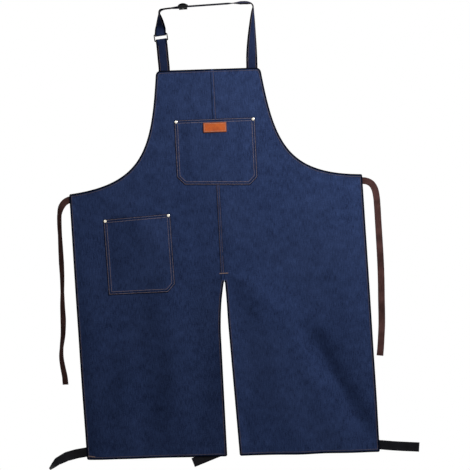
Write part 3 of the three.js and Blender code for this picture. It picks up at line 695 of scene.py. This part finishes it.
def stitch_shape():
    """One stitch, a grain of rice: three five-sided rings along it between two end points, as unit
    points (along, across, out) and its faces."""
    along = np.array([-0.62, 0.0, 0.62])
    size = np.sqrt(1 - along ** 2)
    turn = np.linspace(0, 2 * math.pi, 6)[:-1]
    out = size[:, None] * np.sin(turn)
    rings = np.stack([along[:, None] + 0 * out, size[:, None] * np.cos(turn), out], -1).reshape(-1, 3)
    points = np.concatenate([rings, [[-1, 0, 0], [1, 0, 0]]]) * [0.5, 0.5, 1]
    index = np.arange(15).reshape(3, 5)
    start, end = np.full(5, 15), np.full(5, 16)
    quads = grid_quads(np.concatenate([index, index[:, :1]], 1))
    first = np.stack([index[0], np.roll(index[0], -1), start], 1)
    last = np.stack([np.roll(index[2], -1), index[2], end], 1)
    return points, [quads[:, ::-1], first[:, ::-1], last[:, ::-1]]


STITCH_POINTS, STITCH_FACES = stitch_shape()


def at_runs(wanted, run, values):
    """Values, one row of three a point, read off at the wanted distances along the run."""
    return np.stack([np.interp(wanted, run, column) for column in values.T], 1)


def stitch_shell(rows, pitch=STITCH_PITCH, length=STITCH_LENGTH, width=STITCH_WIDTH):
    """Every stitch of several rows, one a pitch, square to its row and clear of the rivets: each row
    is (points, outward normals), with (0, -1, 0) for a whole row on the front."""
    blocks = []
    unit = STITCH_POINTS * [length, width, STITCH_HEIGHT]
    for places, normals in rows:
        run = run_along(places)
        middle = np.arange(pitch / 2, run[-1], pitch)
        at = at_runs(middle, run, places)
        clear = [np.hypot(at[:, 0] - x, at[:, 2] - z) > RIVET_CLEARANCE for x, z in RIVETS]
        middle = middle[np.all(clear, axis=0)]
        at = at_runs(middle, run, places)
        along = at_runs(middle + pitch / 3, run, places) - at_runs(middle - pitch / 3, run, places)
        along /= np.linalg.norm(along, axis=1)[:, None]
        out = at_runs(middle, run, np.broadcast_to(normals, places.shape))
        out -= along * np.einsum("ij,ij->i", along, out)[:, None]
        out /= np.linalg.norm(out, axis=1)[:, None]
        axes = np.stack([along, np.cross(along, out), out], 1)
        blocks.append(at[:, None] + unit @ axes)
    points = np.concatenate(blocks)
    shift = (np.arange(len(points)) * len(STITCH_POINTS))[:, None, None]
    faces = [(block[None] + shift).reshape(-1, block.shape[1]) for block in STITCH_FACES]
    points = points.reshape(-1, 3)
    return points, faces, points[:, [0, 2]], 9 * MM, 1.0


def bartack_rows(across, depth, width, turn):
    """A bartack at a pattern place: short stitches packed side by side, square to its length."""
    middle_x, middle_z = hang(across, depth)
    end = np.array([-1.1, 1.1]) * MM
    rows = []
    for along in np.linspace(-width / 2, width / 2, int(width / (0.9 * MM))):
        x = middle_x + along * math.cos(turn) - end * math.sin(turn)
        z = middle_z + along * math.sin(turn) + end * math.cos(turn)
        rows.append((np.stack([x, drape(x, z) - 1.7 * MM, z], -1), FRONT))
    return rows


# ---- pockets ----


def pocket_halves(pocket, down):
    """How far the pocket reaches left and right of its middle, less the cut corners at its foot."""
    low = down - pocket["height"]
    left = pocket["width"] / 2 - np.clip(low + pocket["left"], 0, None)
    right = pocket["width"] / 2 - np.clip(low + pocket["right"], 0, None)
    return left, right


def pocket_rim(pocket, across, down):
    """Distance in from the pocket's sewn edges: sides, foot and cut corners."""
    half = pocket["width"] / 2
    corner = np.where(across < 0, pocket["left"], pocket["right"])
    cut = ((half - np.abs(across)) + (pocket["height"] - down) - corner) / math.sqrt(2)
    cut = np.where(corner > 0, cut, 1.0)
    return np.minimum(np.minimum(half - np.abs(across), pocket["height"] - down), cut)


def pocket_front(pocket, across, down):
    """The pocket's front face: on the cloth at its sewn edge, thicker over the turned edge and the
    mouth's hem, grooved by the two stitch rows, and bellied where it is free, most at the mouth."""
    x, z = pocket_place(pocket, across, down)
    rim = pocket_rim(pocket, across, down)
    inside = smooth(8 * MM, 45 * MM, rim)
    part = down / pocket["height"]
    ripple = 0.8 * MM * np.sin(across * 2 * math.pi / 0.083 + 3 * part) * (1 - part)
    belly = (pocket["belly"] * (1 - 0.85 * part) + ripple) * inside
    turned = 0.3 * MM * np.maximum(smooth(11 * MM, 9 * MM, rim), smooth(12 * MM, 10 * MM, down))
    round_edge = 0.8 * MM * (1 - smooth(0, 1.4 * MM, np.minimum(rim, down)))
    groove = 0
    for row in POCKET_ROWS:
        for away in (rim - row, down - row):
            groove = groove + 0.22 * MM * np.exp(-(away / (0.9 * MM)) ** 2)
    pressed = 0
    for still_x, still_z in STILL:
        away = np.hypot(x - still_x, z - still_z)
        pressed = pressed + 0.35 * MM * np.exp(-(away / (8 * MM)) ** 2)
    lift = 1.5 * CLOTH + 0.2 * MM + belly + turned - round_edge - groove - pressed
    return x, drape(x, z) - lift, z


def pocket_shell(pocket):
    """The pocket's closed sheet: a grid close-set near its edges, whose back lies on the cloth where
    it is sewn, hangs free where it is bellied and is doubled at the mouth's hem."""
    fine = np.array([0, 0.5, 1.2, 2.2, 3.4, 5.5, 7.4, 8.6, 9.8, 11.2, 13.5]) * MM
    height = pocket["height"]
    free = np.linspace(fine[-1], height - fine[-1], 56)[1:-1]
    corner = height - np.linspace(2, 22, 9) * MM
    down = np.unique(np.concatenate([fine, free, height - fine, corner]))[:, None]
    left, right = pocket_halves(pocket, down)
    middle = np.linspace(0, 1, 54)[1:-1]
    start, end = -left + fine[-1], right - fine[-1]
    across = np.concatenate([-left + fine, start + (end - start) * middle, right - fine[::-1]], 1)
    down = np.broadcast_to(down, across.shape)
    x, y, z = pocket_front(pocket, across, down)
    thick = CLOTH + 1.0 * MM * smooth(12 * MM, 10 * MM, down)
    cloth_front = drape(x, z) - CLOTH / 2
    back = np.minimum(y + thick, cloth_front + 0.1 * MM)
    points, faces = shell(np.stack([x, y, z], -1), np.stack([x, back, z], -1))
    cut_x, cut_y = 0.7, 0.3  # the patch is cut from elsewhere on the roll, so its streaks differ
    uv = beside(pocket["across"] + across + cut_x, cut_y - (pocket["depth"] + down)).reshape(-1, 2)
    # edge is small at the pocket's sewn edge and midway between its two stitch rows, where the denim paints
    # shade.
    rim = np.minimum(pocket_rim(pocket, across, down), down)
    between = 4.0 * MM + 1.6 * np.abs(rim - 5.4 * MM)
    edge = np.minimum(np.where(rim < 9 * MM, np.minimum(rim + 3.2 * MM, between), 9 * MM), 9 * MM)
    return points, faces, np.tile(uv, (2, 1)), np.tile(edge.ravel(), 2), np.tile(painted_shade_at(x, z).ravel(), 2)


def pocket_outline(pocket, margin):
    """(across, down) round the pocket at a margin, mouth first, as closed evenly placed points."""
    half, foot = pocket["width"] / 2 - margin, pocket["height"] - margin
    left, right = (max(0.0, pocket[side] - margin * 0.6) for side in SIDES)
    return even_line([
        (-half, margin), (half, margin), (half, foot - right), (half - right, foot),
        (-half + left, foot), (-half, foot - left), (-half, margin),
    ], 2 * MM)


def pocket_rows(pocket):
    """The two stitch rows that follow the pocket's outline."""
    rows = []
    for margin in POCKET_ROWS:
        x, y, z = pocket_front(pocket, *pocket_outline(pocket, margin))
        rows.append((np.stack([x, y - 0.12 * MM, z], -1), FRONT))
    return rows


def add_pocket(name, pocket, body, denim_material, thread):
    """A patch pocket and its stitches, both on the body that its cloth hangs from."""
    patch = make_piece(f"{name}_cloth", [pocket_shell(pocket)], denim_material)
    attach(patch, body)
    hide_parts(name)
    stitches = make_piece(f"{name}_stitches", [stitch_shell(pocket_rows(pocket))], thread)
    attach(stitches, body)


def label_place(across, down):
    """(x, y, z) on the chest pocket's front, smoothed as stiff leather lies."""
    x, z = pocket_place(CHEST, across, down)
    _, middle, _ = pocket_front(CHEST, across * 0, down * 0 + LABEL_DROP)
    _, here, _ = pocket_front(CHEST, across, np.maximum(down, 14 * MM))
    return x, middle * 0.6 + here * 0.4, z


def label_shell():
    """Leather label: a rounded rectangle whose face drops at the cut edge, with a creased border."""
    width, height, thick = LABEL_SIZE
    u = np.sin(np.linspace(-1, 1, 45) * math.pi / 2)[None, :]
    v = np.sin(np.linspace(-1, 1, 25) * math.pi / 2)[:, None]
    radius = 2.2 * MM
    into_corner = np.clip(np.abs(v) * height / 2 - height / 2 + radius, 0, radius)
    across = u * (width / 2 - radius + np.sqrt(radius ** 2 - into_corner ** 2))
    down = LABEL_DROP + v * height / 2 + 0 * u
    rim = np.minimum(width / 2 - np.abs(across), height / 2 - np.abs(down - LABEL_DROP))
    x, seat, z = label_place(across, down)
    crease = 0.3 * MM * np.exp(-((rim - LABEL_ROW) / (0.6 * MM)) ** 2)
    lift = 0.15 * MM + thick - crease - 0.7 * MM * (1 - smooth(0, 1.0 * MM, rim))
    front, back = np.stack([x, seat - lift, z], -1), np.stack([x, seat - 0.15 * MM, z], -1)
    points, faces = shell(front, back)
    uv = beside(across, down).reshape(-1, 2)
    return points, faces, np.tile(uv, (2, 1)), np.tile(rim.ravel(), 2), 1.0


def add_label(leather):
    """The leather label and the stitches round its crease."""
    pale = sewing_thread("waxed_linen_thread_tan", "#b5806a", "#e0ac92")
    label = make_piece("leather_label_face", [label_shell()], leather)
    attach(label, "bib")
    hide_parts("leather_label")
    width, height, thick = LABEL_SIZE
    w, h = width / 2 - LABEL_ROW, height / 2 - LABEL_ROW
    across, down = even_line([(-w, -h), (w, -h), (w, h), (-w, h), (-w, -h)], 0.95 * MM)
    x, seat, z = label_place(across, LABEL_DROP + down)
    rows = [(np.stack([x, seat - thick - 0.1 * MM, z], -1), FRONT)]
    stitches = make_piece("leather_label_stitches", [stitch_shell(rows, 2.6 * MM, 2.4 * MM, 1.5 * MM)], pale)
    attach(stitches, "bib")


# ---- bands: straps, ties and webbing ----

LANE_UP = (-LANE_SLOPE, 0, 1)


def station(x, y, z, facing, offset=0.0):
    """One place on a band's route: the way its face looks and how far that way the band lies."""
    look = np.array(facing, float)
    return np.concatenate([[x, y, z], look / np.linalg.norm(look), [offset]])


def stations_mm(rows):
    """Stations from rows of (x, y, z, facing) in millimetres."""
    return [station(x * MM, y * MM, z * MM, facing) for x, y, z, facing in rows]


def route(stations, steps=8):
    """Centre, direction, outward normal and across of a smooth line through the stations: the
    centripetal Catmull-Rom curve, its facing turned evenly from station to station."""
    rows = np.array(stations)
    p = np.concatenate([[2 * rows[0] - rows[1]], rows, [2 * rows[-1] - rows[-2]]])[:, :3]
    gap = np.sqrt(np.linalg.norm(np.diff(p, axis=0), axis=1))[:, None]
    x0, x1, x2, x3, d0, d1, d2 = p[:-3], p[1:-2], p[2:-1], p[3:], gap[:-2], gap[1:-1], gap[2:]
    m1 = ((x1 - x0) / d0 - (x2 - x0) / (d0 + d1) + (x2 - x1) / d1) * d1
    m2 = ((x2 - x1) / d1 - (x3 - x1) / (d1 + d2) + (x3 - x2) / d2) * d1
    t = (np.arange(steps) / steps)[None, :, None]
    c1, c2, c3 = m1[:, None], (3 * (x2 - x1) - 2 * m1 - m2)[:, None], (2 * (x1 - x2) + m1 + m2)[:, None]
    centre = (x1[:, None] + c1 * t + c2 * t * t + c3 * t ** 3).reshape(-1, 3)
    along = (c1 + 2 * c2 * t + 3 * c3 * t * t).reshape(-1, 3)
    centre = np.concatenate([centre, x2[-1:]])
    along = np.concatenate([along, m2[-1:]])
    along /= np.linalg.norm(along, axis=1)[:, None]
    facing = (rows[:-1, None, 3:] + (rows[1:, None, 3:] - rows[:-1, None, 3:]) * t).reshape(-1, 4)
    facing = np.concatenate([facing, rows[-1:, 3:]])
    normal = facing[:, :3] - along * np.einsum("ij,ij->i", along, facing[:, :3])[:, None]
    normal /= np.linalg.norm(normal, axis=1)[:, None]
    return centre + normal * facing[:, 3:], along, normal, np.cross(along, normal)


def band_section(width, thickness):
    """(across, out) round a folded band: half-round edges, and a crown a little thicker."""
    turn = np.linspace(-math.pi / 2, math.pi / 2, 6)
    r = thickness / 2
    right = np.stack([width / 2 - r + r * np.cos(turn), r * np.sin(turn)], 1)
    flat = np.array([0.4, 0.2, 0.0, -0.2, -0.4])[:, None] * [width, 0]
    top, foot = flat + [0, r], flat[::-1] - [0, r]
    return np.concatenate([right, top, -right, foot])


def plumpness(centre, swell):
    """Thickness of a folded strap over its packed thickness: full by the right corner, none at the
    slider's lane."""
    return 1 + swell * smooth(LANE_RIGHT + 4 * MM, RIGHT_STRAP_X - 20 * MM, centre[:, 0])


def band_shell(stations, width, thickness, steps=8, swell=0.0):
    """A closed band along its route. Its pattern runs across and along it, in metres."""
    centre, _, normal, aside = route(stations, steps)
    section = band_section(width, thickness)
    out = section[None, :, 1:] * plumpness(centre, swell)[:, None, None]
    ring = centre[:, None] + section[None, :, :1] * aside[:, None] + out * normal[:, None]
    points, faces = tube(ring)
    uv = beside(section[None, :, 0], run_along(centre)[:, None]).reshape(-1, 2)
    # edge: distance from the band's side, where the strap denim paints shade and the tapes darken their
    # selvedge.
    edge = np.broadcast_to(width / 2 - np.abs(section[:, 0]), ring.shape[:2]).ravel()
    return points, faces, uv, edge, 1.0


def strap_rows(stations, swell):
    """Stitch rows along the strap's two edges, on both its faces."""
    centre, _, normal, aside = route(stations)
    half = (STRAP_THICKNESS / 2 * plumpness(centre, swell))[:, None]
    rows = []
    for edge in (-1, 1):
        for face in (1, -1):
            places = centre + aside * edge * (STRAP_WIDTH / 2 - STRAP_ROW_INSET) + normal * face * half
            rows.append((places, normal * face))
    return rows


LAYER_OFFSET = (STRAP_THICKNESS + LAYER_GAP) / 2
DOUBLED_Z = STRAP_THICKNESS / 2 - LAYER_OFFSET
STRAP_BEHIND = BEHIND_PANEL + STRAP_THICKNESS / 2
LEFT_STRAP_X = BIB_CENTRE_X - BIB_HALF + STRAP_WIDTH / 2 + STRAP_INSET
RIGHT_STRAP_X = BIB_CENTRE_X + BIB_HALF - STRAP_WIDTH / 2 - STRAP_INSET
LOOP_RADIUS = RING_THICKNESS / 2 + RING_ROCK_PLAY + STRAP_THICKNESS / 2
BAR_RISE = RING_HEIGHT / 2 - RING_BAR / 2
LANE_LEFT = SLIDER_X - SLIDER_LENGTH / 2 - SLIDER_TRAVEL_LEFT - 2 * MM
LANE_RIGHT = SLIDER_X + SLIDER_LENGTH / 2 + SLIDER_TRAVEL_RIGHT + 4 * MM


def lane_z(x):
    """Height of the doubled strap's middle along its sloping top stretch."""
    return DOUBLED_Z + LANE_SLOPE * x


def bib_top_at(x):
    """Height of the bib's top edge."""
    return -LOOP_HEIGHT + SLOPE_TOP * (x - BIB_CENTRE_X)


def turned(degrees, side):
    """A facing turned from the front towards one side."""
    angle = math.radians(degrees)
    return (side * math.sin(angle), -math.cos(angle), 0)


def at_ring(y, up, facing):
    """A place on the strap at the ring, turned in the plane of the front with the tilted ring."""
    s, c = math.sin(RING_TILT), math.cos(RING_TILT)
    look = (facing[0] * c - facing[2] * s, facing[1], facing[0] * s + facing[2] * c)
    return station(RING_X - up * s, y, RING_Z + up * c, look)


def bar_turn(side):
    """A half turn of strap round a bar of the ring: -1 under the top bar, 1 over the low one."""
    turns = [(-math.cos(math.pi * i / 4), side * math.sin(math.pi * i / 4)) for i in range(5)]
    return [at_ring(LOOP_RADIUS * y, -side * BAR_RISE + LOOP_RADIUS * up, (0, y, up)) for y, up in turns]


def doubled_run(offset):
    """The doubled stretch from the slider to just above the ring, one layer on each face."""
    drop = RING_Z + BAR_RISE - DOUBLED_Z
    places = [
        (LANE_LEFT, lane_z(LANE_LEFT), LANE_UP),
        (RING_X + 24 * MM, lane_z(RING_X + 24 * MM) - 0.5 * MM, (-0.1, -0.14, 1)),
        (RING_X + 8 * MM, lane_z(RING_X + 8 * MM) - 1.5 * MM, (-0.2, -0.1, 1)),
        (RING_X - 1.5 * MM, lane_z(RING_X) - 4.5 * MM, (-0.7, 0, 0.7)),
        (RING_X - 4.6 * MM, lane_z(RING_X) - 11 * MM, (-1, 0, 0.1)),
        (RING_X - 4.2 * MM, DOUBLED_Z + drop * 0.36, turned(78, -1)),
        (RING_X - 2.6 * MM, DOUBLED_Z + drop * 0.54, turned(58, -1)),
        (RING_X - 1.6 * MM, DOUBLED_Z + drop * 0.7, turned(40, -1)),
        (RING_X - 1.3 * MM, DOUBLED_Z + drop * 0.84, turned(17, -1)),
    ]
    return [station(x, 0, z, facing, offset) for x, z, facing in places]


def right_riser():
    """The right strap from the bib up, twisting edge-on, over the corner and on to the lane."""
    base = bib_top_at(RIGHT_STRAP_X) + STRAP_END_GAP
    rise = DOUBLED_Z - base
    corner = RIGHT_STRAP_X + 2 * MM
    x = RIGHT_STRAP_X
    joined = station(x - 0.5 * MM, 1.2 * MM, base + rise * 0.12, turned(8, 1))
    lower = [
        station(x, STRAP_BEHIND, base - STRAP_END_GAP - STRAP_TAIL, FRONT),
        station(x, STRAP_BEHIND, base - STRAP_END_GAP, FRONT),
        station(x, STRAP_BEHIND, base, FRONT),
        joined,
    ]
    upper = [
        joined,
        station(x - 0.5 * MM, 0.4 * MM, base + rise * 0.3, turned(27, 1)),
        station(x, 0, base + rise * 0.5, turned(46, 1)),
        station(corner - 1 * MM, 0, base + rise * 0.7, turned(62, 1)),
        station(corner, 0, base + rise * 0.88, turned(78, 1)),
        station(corner, 0, DOUBLED_Z - 4 * MM, (1, 0, 0.1), LAYER_OFFSET),
        station(corner - 3.5 * MM, 0, DOUBLED_Z + 2.8 * MM, (0.7, -0.1, 0.7), LAYER_OFFSET),
        station(corner - 15 * MM, 0, lane_z(corner - 15 * MM) - 1.4 * MM, (0, -0.34, 1), LAYER_OFFSET),
        station(corner - 33 * MM, 0, lane_z(corner - 33 * MM) - 0.3 * MM, (-0.07, -0.36, 1), LAYER_OFFSET),
        station(LANE_RIGHT, 0, lane_z(LANE_RIGHT), LANE_UP, LAYER_OFFSET),
    ]
    return lower, upper


def bar_lap(up):
    """The strap's end lapped behind itself past a bar of the ring: up is 1 for the top bar."""
    return [
        at_ring(LOOP_RADIUS * 0.75, up * (BAR_RISE + LOOP_LAP * 0.5), BACK),
        at_ring(LOOP_RADIUS * 0.65, up * (BAR_RISE + LOOP_LAP), BACK),
    ]


def short_strap():
    """The left strap from its sewn tail behind the bib up to the ring's low bar and round it."""
    top = bib_top_at(LEFT_STRAP_X)
    base = station(LEFT_STRAP_X, STRAP_BEHIND, top + STRAP_END_GAP, FRONT)
    under = at_ring(-LOOP_RADIUS * 0.6, -BAR_RISE - LOOP_LAP * 2, FRONT)
    return [
        station(LEFT_STRAP_X, STRAP_BEHIND, top - STRAP_TAIL, FRONT),
        station(LEFT_STRAP_X, STRAP_BEHIND, top, FRONT),
        base,
        (base + under) / 2,
        under,
        *bar_turn(1),
        *bar_lap(-1),
    ]


def add_strap_piece(name, stations, material, thread, swell=0.0, stitched=None):
    """A stretch of folded denim strap and the stitches along its first `stitched` stations."""
    piece = make_piece(name, [band_shell(stations, STRAP_WIDTH, STRAP_THICKNESS, swell=swell)], material)
    rows = strap_rows(stations[:stitched], swell)
    stitches = make_piece(f"{name}_stitches", [stitch_shell(rows)], thread)
    return [piece, stitches]


def bend_with(pieces, upper, lower, start, end):
    """Bakes each piece's placing into its mesh points."""
    for piece in pieces:
        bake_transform(piece)


def add_neck_strap(material, thread):
    """The long strap in three stretches and the short one; only the long stretch is attached, to the neck
    strap's body.
    """
    lower, upper = right_riser()
    lane = [station(x, 0, lane_z(x), LANE_UP, LAYER_OFFSET) for x in (0, SLIDER_X)]
    neck_start, neck_end = ((0, 0, z) for z in NECK_FOLD)
    sewn = add_strap_piece("neck_strap_right_foot", lower, material, thread)
    bend_with(sewn, "neck_strap", "bib", neck_start, neck_end)
    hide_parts("neck_strap_end_right")
    places = [*upper, *lane, *doubled_run(LAYER_OFFSET)]
    stitched = len(places) - 1
    places += [*bar_turn(-1), *bar_lap(1)]
    long = add_strap_piece("neck_strap_long_cloth", places, material, thread, 0.8, stitched)
    for piece in long:
        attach(piece, "neck_strap")
    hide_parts("neck_strap_long")
    start = station(SLIDER_X, 0, lane_z(SLIDER_X), LANE_UP, -LAYER_OFFSET)
    places = [start, *doubled_run(-LAYER_OFFSET)]
    back = add_strap_piece("neck_strap_return_cloth", places, material, thread)
    bend_with(back, "neck_strap", "slider", (RING_X + 10 * MM, 0, 0), (SLIDER_X - 4 * MM, 0, 0))
    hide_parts("neck_strap_return")
    short = add_strap_piece("neck_strap_short_cloth", short_strap(), material, thread, 0.0, 5)
    bend_with(short, "neck_strap", "bib", neck_start, neck_end)
    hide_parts("neck_strap_short", "neck_strap_end_left")


def add_slider_turn(material):
    """The strap's turn over the slider's middle bar, a low hump on top of it."""
    places = [
        (-13, 2.9, -0.6), (-8.5, 6.0, -0.5), (-3, 7.8, -0.15), (3, 7.7, 0.2), (9, 5.4, 0.5), (13, 2.7, 0.4),
    ]
    x0, z0 = SLIDER_X / MM, LANE_SLOPE * SLIDER_X / MM
    stations = stations_mm([
        (x0 + x - up * LANE_SLOPE, 0, z0 + up + x * LANE_SLOPE, (lean, 0, 1)) for x, up, lean in places
    ])
    turn = make_piece("slider_strap_turn", [band_shell(stations, STRAP_WIDTH, STRAP_THICKNESS, 6)], material)
    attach(turn, "slider")


def finish_metal(name, material, width=0.5 * MM):
    """Rounds a CAD part's edges as tumbling and plating do; its size stays."""
    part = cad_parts[name]
    weld = part.modifiers.new("weld", "WELD")
    weld.merge_threshold = 0.01 * MM
    bevel = part.modifiers.new("bevel", "BEVEL")
    bevel.width, bevel.segments, bevel.limit_method = width, 3, "ANGLE"
    bevel.angle_limit = math.radians(35)
    part.data.materials.clear()
    part.data.materials.append(material)


# ---- waist ties ----

# Each tie's route from its sewn end: (x, y, z, facing), in millimetres.
LEFT_TIE = [
    (-361, 1.5, -512, FRONT), (-377, 1.5, -516, FRONT), (-389, 1, -522, (-0.1, -1, 0)),
    (-399, 0, -535, (-0.35, -1, 0)), (-404, 0, -554, (-0.7, -0.7, 0)), (-404.5, 1, -580, (-0.7, -0.7, 0)),
    (-403, 2, -612, (-0.75, -0.65, 0)), (-401, 1, -649, (-0.65, -0.75, 0)),
    (-399, 0, -684, (-0.6, -0.8, 0)), (-397, -1, -722, (-0.7, -0.7, 0)),
    (-396.5, -1, -761, (-0.8, -0.6, 0)), (-396, 0, -798, (-0.65, -0.75, 0)),
    (-394.5, 2, -835, (-0.5, -0.85, 0)), (-395, 2, -874, (-0.65, -0.75, 0)),
    (-398.5, 0, -908, (-0.8, -0.6, 0)), (-399, -2, -932, (-0.7, -0.7, 0)),
    (-395.5, -2, -957, (-0.6, -0.8, 0)), (-390, -1, -985, (-0.5, -0.85, 0)),
    (-388, 0, -1006, (-0.45, -0.9, 0)),
]
RIGHT_TIE = [
    (379, 1.5, -463, FRONT), (398, 1.5, -465, FRONT), (411, 1, -467, FRONT), (423, 0, -474, FRONT),
    (431, 0, -487, FRONT), (435.5, 0, -506, (0.1, -1, 0)), (438, 0, -533, (0.15, -1, 0)),
    (440, 1, -565, (0.2, -1, 0)), (442, 1, -598, (0.15, -1, 0)), (444, 0, -632, (0.1, -1, 0)),
    (446, 0, -667, (0, -1, 0)), (447.5, -1, -703, (-0.1, -1, 0)), (448.5, -1, -740, (-0.15, -1, 0)),
    (449, 0, -777, (-0.1, -1, 0)), (449.8, 1, -812, (0, -1, 0)), (450, 1, -845, (0.1, -1, 0)),
    (448.5, 0, -880, (0.15, -1, 0)), (447, -1, -905, (0.1, -1, 0)), (445, -1, -929, (0, -1, 0)),
]


def add_waist_ties(left_tape, right_tape):
    """Two limp tapes, each a flat band along its own route, hanging from the waist."""
    for side, places, tape in (("left", LEFT_TIE, left_tape), ("right", RIGHT_TIE, right_tape)):
        stations = stations_mm(places)
        name = f"waist_tie_{side}"
        tie = make_piece(f"{name}_tape", [band_shell(stations, TIE_WIDTH, TIE_THICKNESS, 6)], tape)
        line = route(stations, 6)[0]
        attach(tie, "bib")
        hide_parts(name)


# ---- leg straps ----


def leg_strap_routes():
    """Route of each leg strap from its sewn end, as the frame has it, in millimetres."""
    corner = {side: np.array(hang(s * BODY_HALF, LENGTH)) / MM for side, s in SIDES.items()}
    inner = {
        side: np.array(hang(seam_across(LENGTH) + s * SPLIT_OPEN[s], LENGTH)) / MM
        for side, s in SIDES.items()
    }
    behind = (BEHIND_PANEL + WEBBING_THICKNESS / 2) / MM
    tail = WEBBING_TAIL / MM
    routes = {
        "leg_strap_left_outer": (corner["left"], [
            (tail, behind, 27, FRONT), (-4, behind, 20, FRONT), (-28, behind - 1, 15.5, FRONT),
            (-54, behind - 2, 8.5, (-0.15, -1, 0.25)), (-78, behind - 3, -3.5, (-0.45, -1, 0.65)),
            (-99, behind - 3, -24, (-0.75, -0.2, 0.65)),
        ]),
        "leg_strap_left_inner": (inner["left"], [
            (-6, behind, 17, FRONT), (-34, behind, 6, FRONT), (-62, behind, -5.5, FRONT),
            (-90.5, behind, -17, FRONT),
        ]),
        "leg_strap_right_inner": (inner["right"], [
            (6, behind, 24, FRONT), (40, behind, 25, FRONT), (75, behind, 26, FRONT),
            (110, behind, 27, FRONT),
        ]),
        "leg_strap_right_outer": (corner["right"], [
            (-tail, behind, 20, FRONT), (6, behind, 18.5, FRONT), (38, behind - 1, 16.5, FRONT),
            (72, behind - 1.5, 14.5, FRONT), (104.5, behind - 1.5, 12.5, FRONT),
        ]),
    }
    return {
        name: [(origin[0] + across, y, origin[1] + up, facing) for across, y, up, facing in places]
        for name, (origin, places) in routes.items()
    }


def add_leg_straps(webbing):
    """Four bands of webbing sewn behind the legs. Each route is filled in with straight steps, five
    to a stretch, which then follow the cloth's drape."""
    for name, places in leg_strap_routes().items():
        body = "left_leg" if "_left_" in name else "right_leg"
        stations = np.array(stations_mm(places))
        at = np.linspace(0, len(stations) - 1, 5 * len(stations) - 4)
        stations = np.stack([np.interp(at, np.arange(len(stations)), column) for column in stations.T], 1)
        stations[:, 1] += drape(stations[:, 0], stations[:, 2])
        band = band_shell(stations, WEBBING_WIDTH, WEBBING_THICKNESS, 3)
        strap = make_piece(f"{name}_webbing", [band], webbing)
        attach(strap, body)
        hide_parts(name)


# ---- the cloth halves, their stitches and the bartacks ----


def seam_row(start, end, inset):
    """A stitch row on the felled seam's front, straight down it and inset to the left of its edge."""
    depth = np.arange(start, end, 2 * MM)
    x, z = hang(seam_across(depth) - inset, depth)
    return np.stack([x, drape(x, z) - CLOTH / 2 - SEAM_STITCH_LIFT, z], -1), FRONT


def add_half_length(side_name, part, denim_material, thread, hem_thread):
    """One half's upper or lower length of cloth, with its hem, stitches and bartacks."""
    side, upper = SIDES[side_name], part == "bib"
    start, end = (0.0, PIECE_DEPTH) if upper else (PIECE_DEPTH, LENGTH)
    name = f"{side_name}_{part}_cloth"
    shells = [cloth_shell(side, start, end), hem_shell(side, start, end)]
    cloth = make_piece(name, shells, denim_material)
    hem_rows = [(hem_stitches(side, start, end), FRONT)]
    if side < 0:
        seam_end = min(end, SPLIT_DEPTH - 21 * MM)
        hem_rows.append(seam_row(start + 4 * MM, seam_end, 1.2 * MM))
        hem_rows.append(seam_row(max(start, 140 * MM), seam_end, 6.6 * MM))
    sewn = [make_piece(f"{name}_hem_stitches", [stitch_shell(hem_rows)], hem_thread)]
    if side < 0 and not upper:
        tacks = bartack_rows(seam_across(SPLIT_DEPTH), SPLIT_DEPTH - SPLIT_TACK_RISE, 22 * MM, 0.05)
        tacks += bartack_rows(-BODY_HALF + 13 * MM, LENGTH - 9 * MM, 18 * MM, -0.1)
        sewn.append(make_piece(f"{name}_seam_stitches", [stitch_shell(tacks)], thread))
    bodies = ("bib", "skirt") if upper else ("skirt", f"{side_name}_leg")
    fold_start, fold_end = ((0, 0, z) for z in (WAIST_FOLD if upper else LEG_FOLD))
    bend_with([cloth, *sewn], *bodies, fold_start, fold_end)
    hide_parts(f"{side_name}_{part}_panel", f"{side_name}_skirt_panel")


def add_floor(material):
    """A round pale board, well below the hem: a disc of even points and its copy 10 mm lower."""
    count, radius, height = 96, 1.3, -1.6
    turn = np.arange(count) * 2 * math.pi / count
    ring = np.stack([0.06 + radius * np.cos(turn), radius * np.sin(turn), np.full(count, height)], 1)
    points = np.concatenate([ring, ring - [0, 0, 10 * MM]])
    index = np.arange(count)
    after = np.roll(index, -1)
    sides = np.stack([index, after, after + count, index + count], 1)
    faces = [index[None], index[None, ::-1] + count, sides[:, ::-1]]
    floor = make_piece("floor", [(points, faces, points[:, :2], 1.0, 1.0)], material)


def main():
    """Camera and cords first, then the light, the cloth and what is sewn or riveted to it."""
    add_camera()
    left_tape = woven_tape("cotton_tape_dark", "#38211f", "#6e4e49", 1.6, 0.85)
    right_tape = woven_tape("cotton_tape_brown", "#33201f", "#74504c", 1.6, 0.85)
    add_waist_ties(left_tape, right_tape)
    add_studio()
    body_denim = denim("indigo_denim_twill", "#3c4e7b", "#1f2a49", "#52628c")
    # Painted shade: the straps use a darker copy of the body denim.
    strap_denim_shaded_copy = denim("indigo_denim_painted_shade", "#2a3658", "#182038", "#3a4768")
    thread = sewing_thread("core_spun_thread_copper", "#8a7470", "#bda29a")
    hem_thread = sewing_thread("core_spun_thread_brown", "#64524f", "#8a7066")
    brass, enamel = polished_brass(), black_enamel()
    for side_name in SIDES:
        for part in ("bib", "leg"):
            add_half_length(side_name, part, body_denim, thread, hem_thread)
    add_pocket("chest_pocket", CHEST, "bib", body_denim, thread)
    add_pocket("side_pocket", SIDE, "skirt", body_denim, thread)
    add_label(tan_leather())
    add_neck_strap(strap_denim_shaded_copy, hem_thread)
    add_slider_turn(strap_denim_shaded_copy)
    finish_metal("strap_ring", enamel)
    finish_metal("strap_slider", enamel)
    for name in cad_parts:
        if "_rivet_" in name or "_burr_" in name:
            finish_metal(name, brass, 0.15 * MM)
    add_leg_straps(woven_tape("polypropylene_webbing", "#08080a", "#26262c", 2.2, 0.7))
    add_floor(studio_floor())


main()
